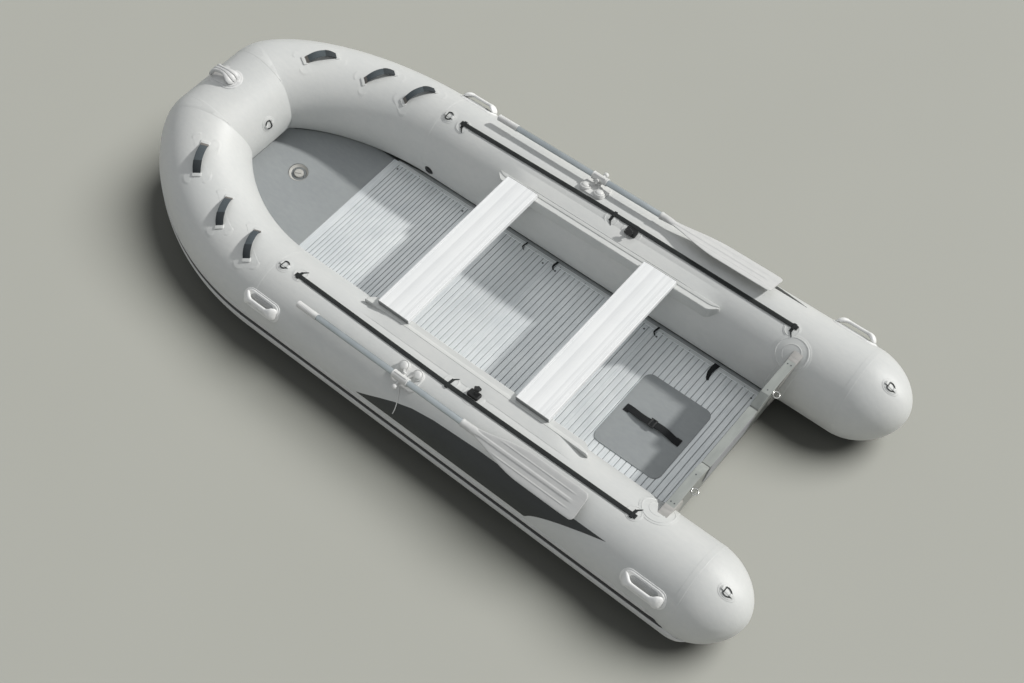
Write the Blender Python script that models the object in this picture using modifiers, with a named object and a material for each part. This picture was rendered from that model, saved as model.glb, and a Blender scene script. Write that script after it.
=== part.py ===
"""Inflatable boat with a folding aluminium floor, two bench seats and two oars.

Metres, +X towards the bow, +Y to port, +Z up. The origin is the middle of the boat's box,
on the ground under its two side tubes.
"""

import math

import bmesh
import bpy
from mathutils import Matrix, Vector

# Clearances
seat_gap = 0.0003  # between pieces that touch
bow_gap = 0.0005  # between a curved pad and the bow tube
overrun = 0.01  # how far a cutter reaches past what it cuts
weld_depth = 0.001  # how far a glued patch is sunk into the tube that it is one with
merge_distance = 0.0001  # of points that are one point

# Hull tubes
overall_length = 3.915
tube_radius = 0.225
tube_spacing = 1.25  # between the side tubes' centrelines
tube_sides = 32
nose_radius = 0.235
nose_width = 0.404  # the straight piece across the bow
bow_length = 0.907  # from the side tubes' ends to the nose's centreline
bow_rise = 0.149
bow_rise_power = 2.5
bow_reach_share = 0.722  # of bow_length, how far the side runs straight on
bow_corner_reach = 0.057  # how far the curve closes in on the nose's corner
bow_seam_shares = (0.12, 0.25, 0.38, 0.50, 0.61, 0.72)  # along the curve, at the panel seams
cone_length = 0.2625
cone_rise = 0.0285
cone_power = 1.8  # how late the cone draws in
cone_round = 1.85  # how blunt its end is
cone_rise_power = 2.3
cone_rings = 9
cone_tip_radius = 0.008

# Bottom and keel
bottom_thickness = 0.003
bottom_clearance = 0.004  # from the ground to the keel line
bottom_edge_angle = -125.0  # where the bottom leaves the tube, from straight outboard
bottom_rise_power = 3.5
bottom_rise_start = 0.10  # aft of the bow tube's joint
keel_length = 2.79
keel_sides = 16
keel_margin = 0.005  # the least length of the keel's first panel

# Floor
floor_top = 0.110
floor_front = 0.2045  # forward of the bow tube's joint
plate_thickness = 0.014
rib_height = 0.0025
rib_pitch = 0.0285
rib_groove = 0.008
joint_strip = 0.046
panel_lengths = (0.560, 0.540, 0.637)  # from the front; the last one fills up to the transom
bow_floor_rise = 0.092
bow_floor_inset = 0.009
stringer_web = 0.006
stringer_lip = 0.015
stringer_wall = 0.003
stringer_setback = 0.030  # from the floor's front edge

# Keel valve in the bow floor
valve_station = 0.5275  # forward of the bow tube's joint
valve_hole_radius = 0.055
keel_valve_radius = 0.034
keel_valve_height = 0.019

# Transom and motor pads
transom_station = 2.221  # from the bow tube's joint aft to its front face, at the top
transom_height = 0.420
transom_thickness = 0.036
transom_tilt = 9.5
transom_cut_depth = 0.052
transom_cut_width = 0.36
transom_cut_top_width = 0.50
motor_pad_width = 0.33
motor_pad_foot = 0.0465  # above the floor
motor_pad_thickness = 0.006
motor_pad_drop = 0.012  # from the cut-out's edge
eye_spacing = 0.62
eye_drop = 0.062  # below the transom's top
eye_ring_radius = 0.016
eye_wire_radius = 0.0035
eye_plate_radius = 0.014
eye_plate_thickness = 0.003

# Rub strake
strake_top_angle = -5.0
strake_bottom_angle = -31.0
strake_depth = 0.011
strake_groove = 0.005
strake_edge = 0.004
strake_lead = 0.100
strake_gap = 0.0024  # at the nose, where the panels are most warped

# Benches and their rails
rail_front = 0.4805  # aft of the bow tube's joint
rail_length = 1.340
rail_lip_width = 0.020
rail_ledge_width = 0.028
rail_lip_height = 0.012
bench_half_length = 0.475
bench_width = 0.191
bench_thickness = 0.028
bench_lift = 0.013  # of the benches' tops above the tubes
bench_groove = 0.004
bench_grooves = 7
bench_stations = (0.6475, 1.4905)  # of each bench's middle, aft of the bow tube's joint

# Oars and rowlocks
rowlock_station = 0.934
rowlock_angle = 68.0
rowlock_length = 0.150
rowlock_width = 0.112
rowlock_base_offset = 0.022  # inboard of the oar
rowlock_height = 0.012
rowlock_post_radius = 0.013
rowlock_ear_radius = 0.024
rowlock_ear_height = 0.024
rowlock_ear_spacing = 0.084
rowlock_ear_offset = 0.052
oar_lift = 0.050  # of the oar's axis above the tube
shaft_radius = 0.0155
collar_radius = 0.021
collar_length = 0.090
grip_radius = 0.0175
grip_length = 0.127
oar_fore_reach = 0.656  # from the rowlock pin to the grip's end
shaft_aft_reach = 0.368
ferrule_length = 0.065
ferrule_radius = 0.020
blade_length = 0.612
blade_width = 0.140
blade_thickness = 0.007
blade_neck_width = 0.036
blade_spine_radius = 0.011

# Fittings on the tubes, each at its distance aft of the bow tube's joint and its angle
ring_patch_radius = 0.036
ring_patch_thickness = 0.003
ring_radius = 0.019
ring_wire_radius = 0.0028
ring_keeper_length = 0.026
ring_keeper_width = 0.020
fore_ring_station = 0.052
fore_ring_angle = 97.0
aft_ring_setback = 0.145  # aft of the cone's joint
aft_ring_angle = 90.0
carry_handle_stations = (0.077, 2.364)
carry_handle_angles = (39.0, 35.0)
carry_length = 0.232
carry_width = 0.078
carry_base = 0.006
carry_grip_width = 0.030
carry_grip_thickness = 0.013
carry_grip_height = 0.040
carry_grip_length = 0.170
lift_strap_stations = (-0.794, -0.443, -0.177)
lift_strap_angle = 92.0
lift_strap_turns = (24.0, 41.0, 55.0)  # the fore ends lie inboard, so that all three are parallel
lift_pad_length = 0.050
lift_pad_width = 0.062
lift_pad_thickness = 0.004
lift_strap_length = 0.180
lift_strap_width = 0.036
lift_strap_thickness = 0.004
lift_strap_height = 0.034
bow_handle_angle = 80.0
bow_handle_length = 0.200
bow_handle_width = 0.110
bow_handle_base = 0.008
bow_handle_grip_width = 0.034
bow_handle_grip_thickness = 0.016
bow_handle_grip_height = 0.050
bow_handle_grip_length = 0.150
bow_ring_angle = 169.0
line_patch_stations = (0.152, 1.1115, 2.150)
line_angles = (96.0, 93.0, 95.0)
line_patch_radius = 0.040
line_patch_thickness = 0.003
line_keeper_length = 0.024
line_keeper_wall = 0.004
line_width = 0.022
line_thickness = 0.003
line_tail = 0.020  # past the end patches
line_slack = 0.0035  # between the line and its keeper
inflation_valve_station = 0.056
inflation_valve_angle = 184.0
inflation_valve_radius = 0.027
inflation_valve_height = 0.009
mount_station = 1.239
mount_angle = 102.0
mount_length = 0.062
mount_width = 0.040
mount_base_height = 0.016
mount_post_radius = 0.011
mount_post_height = 0.040
mount_knob_radius = 0.019
mount_knob_height = 0.014

# Tank pad on the floor
tank_pad_length = 0.380
tank_pad_width = 0.450
tank_pad_thickness = 0.004
tank_pad_corner = 0.040
tank_pad_station = 1.852
tank_pad_offset = 0.048  # to port
tank_strap_length = 0.320
tank_strap_width = 0.038
tank_strap_thickness = 0.003
tank_strap_height = 0.022

smooth_angle = math.radians(30)

tube_offset = tube_spacing / 2
bow_x = overall_length / 2
nose_x = bow_x - nose_radius
joint_x = nose_x - bow_length  # where the bow tube meets the side tubes
cone_start_x = cone_length - bow_x
panel_half_width = tube_offset - tube_radius
bench_top = 2 * tube_radius + bench_lift
tube_step = 360 / tube_sides


def named_collection(name):
    collection = bpy.data.collections.new(name)
    bpy.context.scene.collection.children.link(collection)
    return collection


def paint(name, colour, roughness, metallic=0.0):
    """A Principled material with one colour."""
    material = bpy.data.materials.new(name)
    material.use_nodes = True
    shader = material.node_tree.nodes["Principled BSDF"]
    shader.inputs["Base Color"].default_value = (*colour, 1.0)
    shader.inputs["Roughness"].default_value = roughness
    shader.inputs["Metallic"].default_value = metallic
    material.diffuse_color = (*colour, 1.0)
    return material


def add_part(name, bm, material):
    """Makes a named object of a closed shape, with its faces pointing out."""
    bm.normal_update()
    bmesh.ops.recalc_face_normals(bm, faces=bm.faces)
    mesh = bpy.data.meshes.new(name)
    bm.to_mesh(mesh)
    bm.free()
    mesh.materials.append(material)
    mesh.shade_smooth()
    mesh.set_sharp_from_angle(angle=smooth_angle)
    part = bpy.data.objects.new(name, mesh)
    parts.objects.link(part)
    return part


def mirrored(part, name):
    """The same piece on the starboard side."""
    bm = bmesh.new()
    bm.from_mesh(part.data)
    bm.transform(Matrix.Scale(-1, 4, Vector((0, 1, 0))))
    return add_part(name, bm, part.data.materials[0])


def set_origin(part, point):
    """Moves a part's origin without moving its shape."""
    part.data.transform(Matrix.Translation(-point))
    part.location = point


def taken(helper):
    """The shape of a helper object with its modifiers applied. The helper is removed."""
    bpy.context.view_layer.update()
    graph = bpy.context.evaluated_depsgraph_get()
    mesh = bpy.data.meshes.new_from_object(helper.evaluated_get(graph))
    bm = bmesh.new()
    bm.from_mesh(mesh)
    bmesh.ops.remove_doubles(bm, verts=bm.verts, dist=merge_distance)
    bpy.data.objects.remove(helper, do_unlink=True)
    return bm


def joined(bodies):
    """One closed shape from overlapping closed shapes. EXACT loses some of the bent ones."""
    objects = []
    for bm in bodies:
        bm.normal_update()
        bmesh.ops.recalc_face_normals(bm, faces=bm.faces)
        bmesh.ops.triangulate(bm, faces=bm.faces)
        mesh = bpy.data.meshes.new("joined")
        bm.to_mesh(mesh)
        bm.free()
        helper = bpy.data.objects.new("joined", mesh)
        cutters.objects.link(helper)
        objects.append(helper)
    base = objects[0]
    for other in objects[1:]:
        join = base.modifiers.new(other.name, "BOOLEAN")
        join.operation = "UNION"
        join.solver = "MANIFOLD"
        join.object = other
    bm = taken(base)
    for helper in objects[1:]:
        bpy.data.objects.remove(helper, do_unlink=True)
    return bm


def hide_cutter(cutter):
    cutter.hide_render = True
    cutter.display_type = "WIRE"


# Shapes in local axes


def loft(rings):
    """A closed body through rings of points, with flat ends."""
    bm = bmesh.new()
    loops = [[bm.verts.new(point) for point in ring] for ring in rings]
    for near, far in zip(loops, loops[1:]):
        for i in range(len(near)):
            j = (i + 1) % len(near)
            bm.faces.new((near[i], near[j], far[j], far[i]))
    bm.faces.new(loops[0])
    bm.faces.new(loops[-1])
    return bm


def prism(outline, thickness):
    """A flat outline in XY, made solid from z=0 up to its thickness."""
    data = bpy.data.curves.new("outline", "CURVE")
    data.dimensions = "2D"
    data.fill_mode = "BOTH"
    data.extrude = thickness / 2
    spline = data.splines.new("POLY")
    spline.points.add(len(outline) - 1)
    for point, (x, y) in zip(spline.points, outline):
        point.co = (x, y, 0, 1)
    spline.use_cyclic_u = True
    helper = bpy.data.objects.new("outline", data)
    cutters.objects.link(helper)
    bm = taken(helper)
    bmesh.ops.translate(bm, verts=bm.verts, vec=(0, 0, thickness / 2))
    return bm


def standing(outline, width):
    """A flat outline in XZ, made solid across Y and centred there."""
    bm = prism(outline, width)
    bm.transform(Matrix.Translation((0, width / 2, 0)) @ Matrix.Rotation(math.pi / 2, 4, "X"))
    return bm


def rod(radius, length, sides=16, end_radius=None):
    """A round bar along Z, from z=0."""
    bm = bmesh.new()
    bmesh.ops.create_cone(
        bm,
        cap_ends=True,
        segments=sides,
        radius1=radius,
        radius2=radius if end_radius is None else end_radius,
        depth=length,
    )
    bmesh.ops.translate(bm, verts=bm.verts, vec=(0, 0, length / 2))
    return bm


def turned(profile, sides=20):
    """A body turned about Z from a profile of (radius, height) that starts and ends on the axis."""
    mesh = bpy.data.meshes.new("profile")
    points = [(radius, 0, height) for radius, height in reversed(profile)]
    mesh.from_pydata(points, [(i, i + 1) for i in range(len(points) - 1)], [])
    helper = bpy.data.objects.new("profile", mesh)
    cutters.objects.link(helper)
    turn = helper.modifiers.new("turn", "SCREW")
    turn.steps = turn.render_steps = sides
    turn.use_merge_vertices = True
    turn.merge_threshold = merge_distance
    return taken(helper)


def wire(points, radius, closed=False, resolution=2):
    """A round wire along points, as a closed mesh."""
    data = bpy.data.curves.new("wire", "CURVE")
    data.dimensions = "3D"
    data.bevel_depth = radius
    data.bevel_resolution = resolution
    data.use_fill_caps = True
    spline = data.splines.new("POLY")
    spline.points.add(len(points) - 1)
    for point, place in zip(spline.points, points):
        point.co = (*place, 1)
    spline.use_cyclic_u = closed
    helper = bpy.data.objects.new("wire", data)
    cutters.objects.link(helper)
    return taken(helper)


def rounded_box(length, width, height, corner, steps=4):
    """A block from z=0 whose upright corners are rounded."""
    bm = bmesh.new()
    bmesh.ops.create_cube(bm, size=1)
    bmesh.ops.scale(bm, verts=bm.verts, vec=(length, width, height))
    bmesh.ops.translate(bm, verts=bm.verts, vec=(0, 0, height / 2))
    upright = [e for e in bm.edges if abs(e.verts[0].co.z - e.verts[1].co.z) > height / 2]
    bmesh.ops.bevel(bm, geom=upright, offset=corner, segments=steps, affect="EDGES", profile=0.5)
    return bm


def arch(length, height, thickness, foot, foot_thickness, steps=6):
    """The side outline of a strap or grip that rises from two feet and bows up between them."""
    half = length / 2
    inner_half = half - foot
    shares = [math.sin(math.pi * i / (2 * steps)) for i in range(steps + 1)]
    rise = height - thickness - foot_thickness
    upper = [
        (-half + (half - thickness) * (1 - math.cos(math.pi * i / (2 * steps))), share)
        for i, share in enumerate(shares)
    ]
    top = [(x, foot_thickness + (height - foot_thickness) * share) for x, share in upper]
    under = [
        (-inner_half * math.cos(math.pi * i / (2 * steps)), foot_thickness + rise * share)
        for i, share in enumerate(shares)
    ]
    outer = [(-half, 0)] + top
    inner = [(-inner_half, 0)] + under
    left = outer[:-1] + [(0, height)]
    right = [(-x, z) for x, z in reversed(outer[:-1])]
    below_right = [(-x, z) for x, z in inner[:-1]]
    below_left = [(0, inner[-1][1])] + [(x, z) for x, z in reversed(inner[:-1])]
    return left + right + below_right + below_left


# Bow centreline


def bow_plan(share):
    """Plan of the port half of the bow's centreline, from the side tube at 0 to the nose at 1."""
    reach = joint_x + bow_length * bow_reach_share
    corner = nose_width / 2
    cage = (
        Vector((joint_x, tube_offset)),
        Vector((reach, tube_offset)),
        Vector((nose_x, corner + bow_corner_reach)),
        Vector((nose_x, corner)),
    )
    rest = 1 - share
    weights = (rest**3, 3 * rest**2 * share, 3 * rest * share**2, share**3)
    return sum((weight * point for weight, point in zip(weights, cage)), Vector((0, 0)))


def centre_height(x):
    return tube_radius + bow_rise * (max(x - joint_x, 0) / bow_length) ** bow_rise_power


def bow_radius(x):
    return tube_radius + (nose_radius - tube_radius) * max(x - joint_x, 0) / bow_length


def bow_knots():
    """Corners of the port half of the centreline, at the panel seams."""
    plan = [bow_plan(share) for share in (0.0, *bow_seam_shares, 1.0)]
    return [Vector((p.x, p.y, centre_height(p.x))) for p in plan]


knots = bow_knots()
starboard_knots = [Vector((p.x, -p.y, p.z)) for p in reversed(knots)]
bow_line = knots + starboard_knots
seam_arcs = [sum((b - a).length for a, b in zip(knots[:i], knots[1 : i + 1])) for i in range(len(knots))]
nose_station = -seam_arcs[-1] - nose_width / 2


def skin(angle):
    """The faceted tube's radius at an angle, as a share of its corner radius."""
    half = math.radians(tube_step) / 2
    within = math.radians(angle) % (2 * half) - half
    return math.cos(half) / math.cos(within)


def outward_axes(along):
    """Outboard and up, square to the centreline."""
    outboard = Vector((-along.y, along.x, 0)).normalized()
    return outboard, along.cross(outboard)


def on_section(centre, along, plane, radius, angle):
    """A point of a straight tube's skin, where a leaning plane cuts it."""
    outboard, up = outward_axes(along)
    turn = math.radians(angle)
    reach = radius * (math.cos(turn) * outboard + math.sin(turn) * up)
    return centre + reach - along * (reach.dot(plane) / along.dot(plane))


def bow_ring(i, profile):
    """Points round the bow's centreline at one seam, where two straight panels meet in a mitre."""
    if i >= len(knots):
        port = bow_ring(len(bow_line) - 1 - i, profile)
        return [Vector((p.x, -p.y, p.z)) for p in port]
    here = bow_line[i]
    onward = (bow_line[i + 1] - here).normalized()
    along = (here - bow_line[i - 1]).normalized() if i else Vector((1, 0, 0))
    plane = along + onward if i else along
    sides = {0: (along,), len(knots) - 1: (onward,)}.get(i, (along, onward))
    points = []
    for angle, height in profile:
        radius = bow_radius(here.x) * skin(angle) + height
        places = [on_section(here, side, plane, radius, angle) for side in sides]
        points.append(sum(places, Vector()) / len(places))
    return points


def side_ring(x, profile, side):
    """Points round a side tube, at one place along it."""
    points = []
    for angle, height in profile:
        turn = math.radians(angle)
        radius = tube_radius * skin(angle) + height
        y = side * (tube_offset + radius * math.cos(turn))
        points.append(Vector((x, y, tube_radius + radius * math.sin(turn))))
    return points


def stern_cone_line():
    """(x, height of the centre, radius) of each ring of a stern cone, from the tube to the tip."""
    line = []
    for i in range(cone_rings):
        share = math.sin(math.pi * i / (2 * cone_rings))
        x = cone_start_x - seat_gap - (cone_length - seat_gap) * share
        radius = tube_radius * (1 - share**cone_power) ** (1 / cone_round)
        line.append((x, tube_radius + cone_rise * share**cone_rise_power, radius))
    return line + [(-bow_x, tube_radius + cone_rise, cone_tip_radius)]


def cone_points(ring, profile):
    """Points round a port stern cone, at one of its rings."""
    x, centre, ring_radius = ring
    points = []
    for angle, height in profile:
        turn = math.radians(angle)
        radius = ring_radius * skin(angle) + height
        points.append(Vector((x, tube_offset + radius * math.cos(turn), centre + radius * math.sin(turn))))
    return points


cone_line = stern_cone_line()


def tube_axis(station):
    """The port side tube's centre, at a distance aft of the bow's joint."""
    return Vector((joint_x - station, tube_offset, tube_radius))


def on_tube(station, angle, height):
    """A point over the port half of the hull: its angle from outboard, its height off the skin."""
    place = [(angle, height)]
    x = joint_x - station
    if x < cone_start_x:
        rings = zip(cone_line, cone_line[1:])
        near, far = next((a, b) for a, b in rings if b[0] <= x)
        share = min(max((near[0] - x) / (near[0] - far[0]), 0), 1)
        return cone_points(near, place)[0].lerp(cone_points(far, place)[0], share)
    if station >= 0:
        return side_ring(x, place, 1)[0]
    seam = max(i for i, arc in enumerate(seam_arcs) if arc < -station)
    run = bow_line[seam + 1] - bow_line[seam]
    share = (-station - seam_arcs[seam]) / run.length
    if seam == len(knots) - 1:
        across = run.normalized()
        radius = nose_radius * skin(angle) + height
        return on_section(bow_line[seam] + run * share, across, across, radius, angle)
    return bow_ring(seam, place)[0].lerp(bow_ring(seam + 1, place)[0], share)


def height_along(line, x):
    """Height at x of a line of (x, height) points."""
    for (x0, z0), (x1, z1) in zip(line, line[1:]):
        if x <= x1:
            return z0 + (z1 - z0) * (x - x0) / (x1 - x0)
    return line[-1][1]


def girth_radius(station):
    """The hull tube's radius at a distance aft of the bow's joint."""
    rings = [(-x, radius) for x, _, radius in cone_line]
    if joint_x - station < cone_start_x:
        return height_along(rings, station - joint_x)
    if station < -seam_arcs[-1]:
        return nose_radius
    return tube_radius


def sliced(bm, axis, places):
    """Cuts a flat shape across an axis, so that it can bend there."""
    normal = Vector((0, 0, 0))
    normal[axis] = 1
    for place in places:
        geometry = bm.verts[:] + bm.edges[:] + bm.faces[:]
        bmesh.ops.bisect_plane(
            bm, geom=geometry, dist=merge_distance, plane_co=normal * place, plane_no=normal
        )


def wrapped(bm, station, angle, gap=seat_gap):
    """Bends a flat shape round the port tube. Its X runs forward, its Y up the girth, its Z out."""
    girth = girth_radius(station)
    arc = math.radians(tube_step) * girth
    start = math.radians(angle) * girth
    low = math.floor((start - tube_spacing) / arc)
    high = math.ceil((start + tube_spacing) / arc)
    extent = max(abs(v.co.y) for v in bm.verts)
    folds = [k * arc - start for k in range(low, high) if abs(k * arc - start) < extent]
    sliced(bm, 1, folds)
    reach = max(abs(v.co.x) for v in bm.verts)
    seams = [station + arc for arc in seam_arcs] + [ring[0] - joint_x + station for ring in cone_line]
    sliced(bm, 0, [x for x in seams if abs(x) < reach])
    bmesh.ops.triangulate(bm, faces=bm.faces)
    for vert in bm.verts:
        x, y, z = vert.co
        turn = angle + math.degrees(y / girth)
        vert.co = on_tube(station - x, turn, z + gap)
    return bm


# Hull


round_profile = [(i * tube_step, 0.0) for i in range(tube_sides)]


def make_tubes():
    rings = [side_ring(x, round_profile, 1) for x in (cone_start_x, joint_x - seat_gap)]
    port = add_part("tube_port", joined([loft(rings)] + line_patches()), tube_skin)
    mirrored(port, "tube_starboard")
    rings = [bow_ring(i, round_profile) for i in range(len(bow_line))]
    add_part("tube_bow", loft(rings), tube_skin)


def make_cones():
    port = add_part("stern_cone_port", loft([cone_points(ring, round_profile) for ring in cone_line]), tube_skin)
    mirrored(port, "stern_cone_starboard")


def keel_line(x):
    """Height of the bottom's upper face along the keel, as a smooth curve."""
    start = joint_x - bottom_rise_start
    end = bow_ring(len(knots) - 1, [(bottom_edge_angle, bow_gap)])[0]
    share = max(x - start, 0) / (end.x - start)
    low = bottom_clearance + bottom_thickness
    return low + (end.z - low) * share**bottom_rise_power


def transom_front(z):
    """The transom's front face, which leans aft towards its top."""
    lean = math.tan(math.radians(transom_tilt))
    return joint_x - transom_station + (transom_height - z) * lean


transom_run = transom_thickness / math.cos(math.radians(transom_tilt))


def bottom_edges():
    """The bottom's port edge, from the transom to the nose."""
    edge = [(bottom_edge_angle, seat_gap)]
    stern_x = transom_front(0) - transom_run
    straight = [side_ring(x, edge, 1)[0] for x in (stern_x, joint_x - bottom_rise_start)]
    bow = [bow_ring(i, [(bottom_edge_angle, bow_gap)])[0] for i in range(len(knots))]
    return straight + bow


def make_bottom():
    """A sheet of fabric from tube to tube over the keel, open towards the transom."""
    bm = bmesh.new()
    rows = []
    for edge in bottom_edges():
        places = ((edge.x, edge.y, edge.z), (edge.x, 0, keel_line(edge.x)), (edge.x, -edge.y, edge.z))
        rows.append([bm.verts.new(place) for place in places])
    for aft, fore in zip(rows, rows[1:]):
        for i in (0, 1):
            bm.faces.new((aft[i + 1], fore[i + 1], fore[i], aft[i]))
    bmesh.ops.triangulate(bm, faces=bm.faces)
    sheet = add_part("hull_bottom", bm, grey_skin)
    if sheet.data.polygons[0].normal.z < 0:
        sheet.data.flip_normals()
    wall = sheet.modifiers.new("wall", "SOLIDIFY")
    wall.thickness = bottom_thickness
    wall.offset = -1


front_x = joint_x + floor_front
floor_thickness = plate_thickness + rib_height


def bow_floor_top(x):
    """Height of the smooth bow floor, which sweeps up towards the nose."""
    end = bow_ring(len(knots) - 1, [(bottom_edge_angle, seat_gap)])[0]
    share = max(x - front_x, 0) / (end.x - front_x)
    return floor_top + bow_floor_rise * share**2


def inner_edge(i, z):
    """Where the bow tube's inner side stands at a height, at one seam."""
    radius = bow_radius(bow_line[i].x)
    sunk = min(max((bow_line[i].z - z) / radius, 0), 1)
    angle = -180 + math.degrees(math.asin(sunk))
    return bow_ring(i, [(angle, bow_floor_inset)])[0]


def floor_row(x, half):
    top = bow_floor_top(x)
    low = top - floor_thickness
    return [Vector((x, -half, top)), Vector((x, half, top)), Vector((x, half, low)), Vector((x, -half, low))]


def bow_floor_edges():
    """(x, half width) of the smooth bow floor at each seam of the bow tube."""
    edges = [(front_x + seat_gap, panel_half_width)]
    for i in range(1, len(knots)):
        place = inner_edge(i, floor_top)
        for _ in range(3):
            place = inner_edge(i, bow_floor_top(place.x) - floor_thickness / 2)
        if place.x > front_x + joint_strip:
            edges.append((place.x, place.y))
    return edges


def make_bow_floor():
    """The smooth floor ahead of the boards, fitted into the bow, with a hole for the keel valve."""
    floor = add_part("bow_floor", loft([floor_row(x, half) for x, half in bow_floor_edges()]), grey_skin)
    bm = rod(valve_hole_radius, 2 * bow_rise, sides=32)
    bm.transform(Matrix.Translation((joint_x + valve_station, 0, 0)))
    mesh = bpy.data.meshes.new("valve_hole_cutter")
    bm.to_mesh(mesh)
    bm.free()
    cutter = bpy.data.objects.new("valve_hole_cutter", mesh)
    cutters.objects.link(cutter)
    hide_cutter(cutter)
    cut = floor.modifiers.new("valve_hole", "BOOLEAN")
    cut.operation = "DIFFERENCE"
    cut.solver = "EXACT"
    cut.object = cutter


def make_keel():
    """A round air keel squeezed between the bottom and the floor, and the valve on its fore end."""
    floor_line = [(-bow_x, floor_top - floor_thickness), (front_x, floor_top - floor_thickness)]
    floor_line += [(x, bow_floor_top(x) - floor_thickness) for x, _ in bow_floor_edges()]
    keel_curve = [(p.x, keel_line(p.x)) for p in bottom_edges()]
    start = transom_front(0) + seat_gap
    end = start + keel_length
    tip = end + keel_valve_radius
    stops = [x for x, _ in floor_line + keel_curve if start + keel_margin < x < end]
    stops = sorted(set([start, end, tip] + stops))
    rings = []
    for x in stops:
        low = height_along(keel_curve, x) + seat_gap
        high = height_along(floor_line, x) - seat_gap
        radius = (high - low) / 2
        drawn = radius / 2 if x == tip else radius
        ring = []
        for i in range(keel_sides):
            turn = 2 * math.pi * i / keel_sides
            ring.append(Vector((x, drawn * math.cos(turn), low + radius + drawn * math.sin(turn))))
        rings.append(ring)
    add_part("keel_tube", loft(rings), grey_skin)
    cap_radius = keel_valve_radius * 0.75
    profile = [
        (0, 0),
        (keel_valve_radius, 0),
        (keel_valve_radius, keel_valve_height * 0.3),
        (cap_radius, keel_valve_height * 0.45),
        (cap_radius, keel_valve_height * 0.9),
        (cap_radius * 0.9, keel_valve_height),
        (0, keel_valve_height),
    ]
    x = joint_x + valve_station
    aft = height_along(floor_line, x - keel_valve_radius)
    fore = height_along(floor_line, x + keel_valve_radius)
    slope = math.atan2(fore - aft, 2 * keel_valve_radius)
    bm = turned(profile, sides=24)
    place = Matrix.Translation((x, 0, max((aft + fore) / 2, height_along(floor_line, x)) + seat_gap))
    bm.transform(place @ Matrix.Rotation(-slope, 4, "Y"))
    add_part("keel_valve", bm, pale_plastic)


def ribbed_outline(start, end, front_strip, aft_strip):
    """Side outline of a floor board: a plate with ribs across the boat and plain strips at its ends."""
    low = floor_top - floor_thickness
    valley = floor_top - rib_height
    outline = [(start, low), (start, floor_top)]
    room = start - end - front_strip - aft_strip
    count = max(int(room / rib_pitch), 1)
    pitch = room / count
    for i in range(count):
        ahead = start - front_strip - pitch * i
        outline += [
            (ahead, floor_top),
            (ahead - rib_groove / 4, valley),
            (ahead - rib_groove * 3 / 4, valley),
            (ahead - rib_groove, floor_top),
        ]
    outline += [(end, floor_top), (end, low)]
    return outline


def make_floor():
    fronts = [front_x]
    for length in panel_lengths:
        fronts.append(fronts[-1] - length)
    stern = transom_front(floor_top - floor_thickness) + seat_gap
    ends = fronts[1:] + [stern]
    for i, (start, end) in enumerate(zip(fronts, ends)):
        front_strip = joint_strip if i == 0 else rib_groove
        aft_strip = joint_strip if i < len(panel_lengths) else rib_groove
        outline = ribbed_outline(start - seat_gap, end, front_strip, aft_strip)
        add_part(f"floor_board_{i + 1}", standing(outline, 2 * panel_half_width), floor_metal)


def make_stringers():
    """Channels that clip over the boards' side edges."""
    slot_low = floor_top - floor_thickness - seat_gap
    slot_high = floor_top + seat_gap
    low = slot_low - stringer_wall
    high = slot_high + stringer_wall
    mouth = panel_half_width - stringer_lip
    web = panel_half_width + seat_gap
    back = web + stringer_web
    outline = [
        (mouth, low),
        (back, low),
        (back, high),
        (mouth, high),
        (mouth, slot_high),
        (web, slot_high),
        (web, slot_low),
        (mouth, slot_low),
    ]
    start = transom_front(low) + seat_gap
    length = front_x - stringer_setback - start
    bm = prism(outline, length)
    turn = Matrix(((0, 0, 1, start), (1, 0, 0, 0), (0, 1, 0, 0), (0, 0, 0, 1)))
    bm.transform(turn)
    port = add_part("stringer_port", bm, floor_metal)
    mirrored(port, "stringer_starboard")


def transom_shear(bm, x):
    """Leans an upright plate back with the transom, from its front face at x=0."""
    lean = math.tan(math.radians(transom_tilt))
    for vert in bm.verts:
        vert.co.x += x - (vert.co.z - transom_height) * lean
    return bm


def plate_across(outline, thickness):
    """A flat outline in YZ, made solid aft of x=0."""
    bm = prism(outline, thickness)
    bm.transform(Matrix(((0, 0, -1, 0), (1, 0, 0, 0), (0, 1, 0, 0), (0, 0, 0, 1))))
    return bm


def transom_sides():
    """The transom's port half outline, from the keel up along the tube to the motor cut-out."""
    first = (math.floor(bottom_edge_angle / tube_step) - 1) * tube_step
    keel = bottom_clearance + bottom_thickness + seat_gap
    edge = side_ring(0, [(bottom_edge_angle, seat_gap)], 1)[0]
    slope = (edge.z - keel) / edge.y
    points = [(0, keel)]
    corner = side_ring(0, [(first, seat_gap)], 1)[0]
    foot = corner.y - plate_thickness
    points.append((foot, keel + slope * foot + seat_gap))
    angle = first
    height = corner.z
    while height < transom_height and angle > -270:
        place = side_ring(0, [(angle, seat_gap)], 1)[0]
        height = place.z
        if height < transom_height:
            points.append((place.y, place.z))
            last = place.y
        angle -= tube_step
    points.append((last, transom_height))
    points.append((transom_cut_top_width / 2, transom_height))
    points.append((transom_cut_width / 2, transom_height - transom_cut_depth))
    return points


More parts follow.
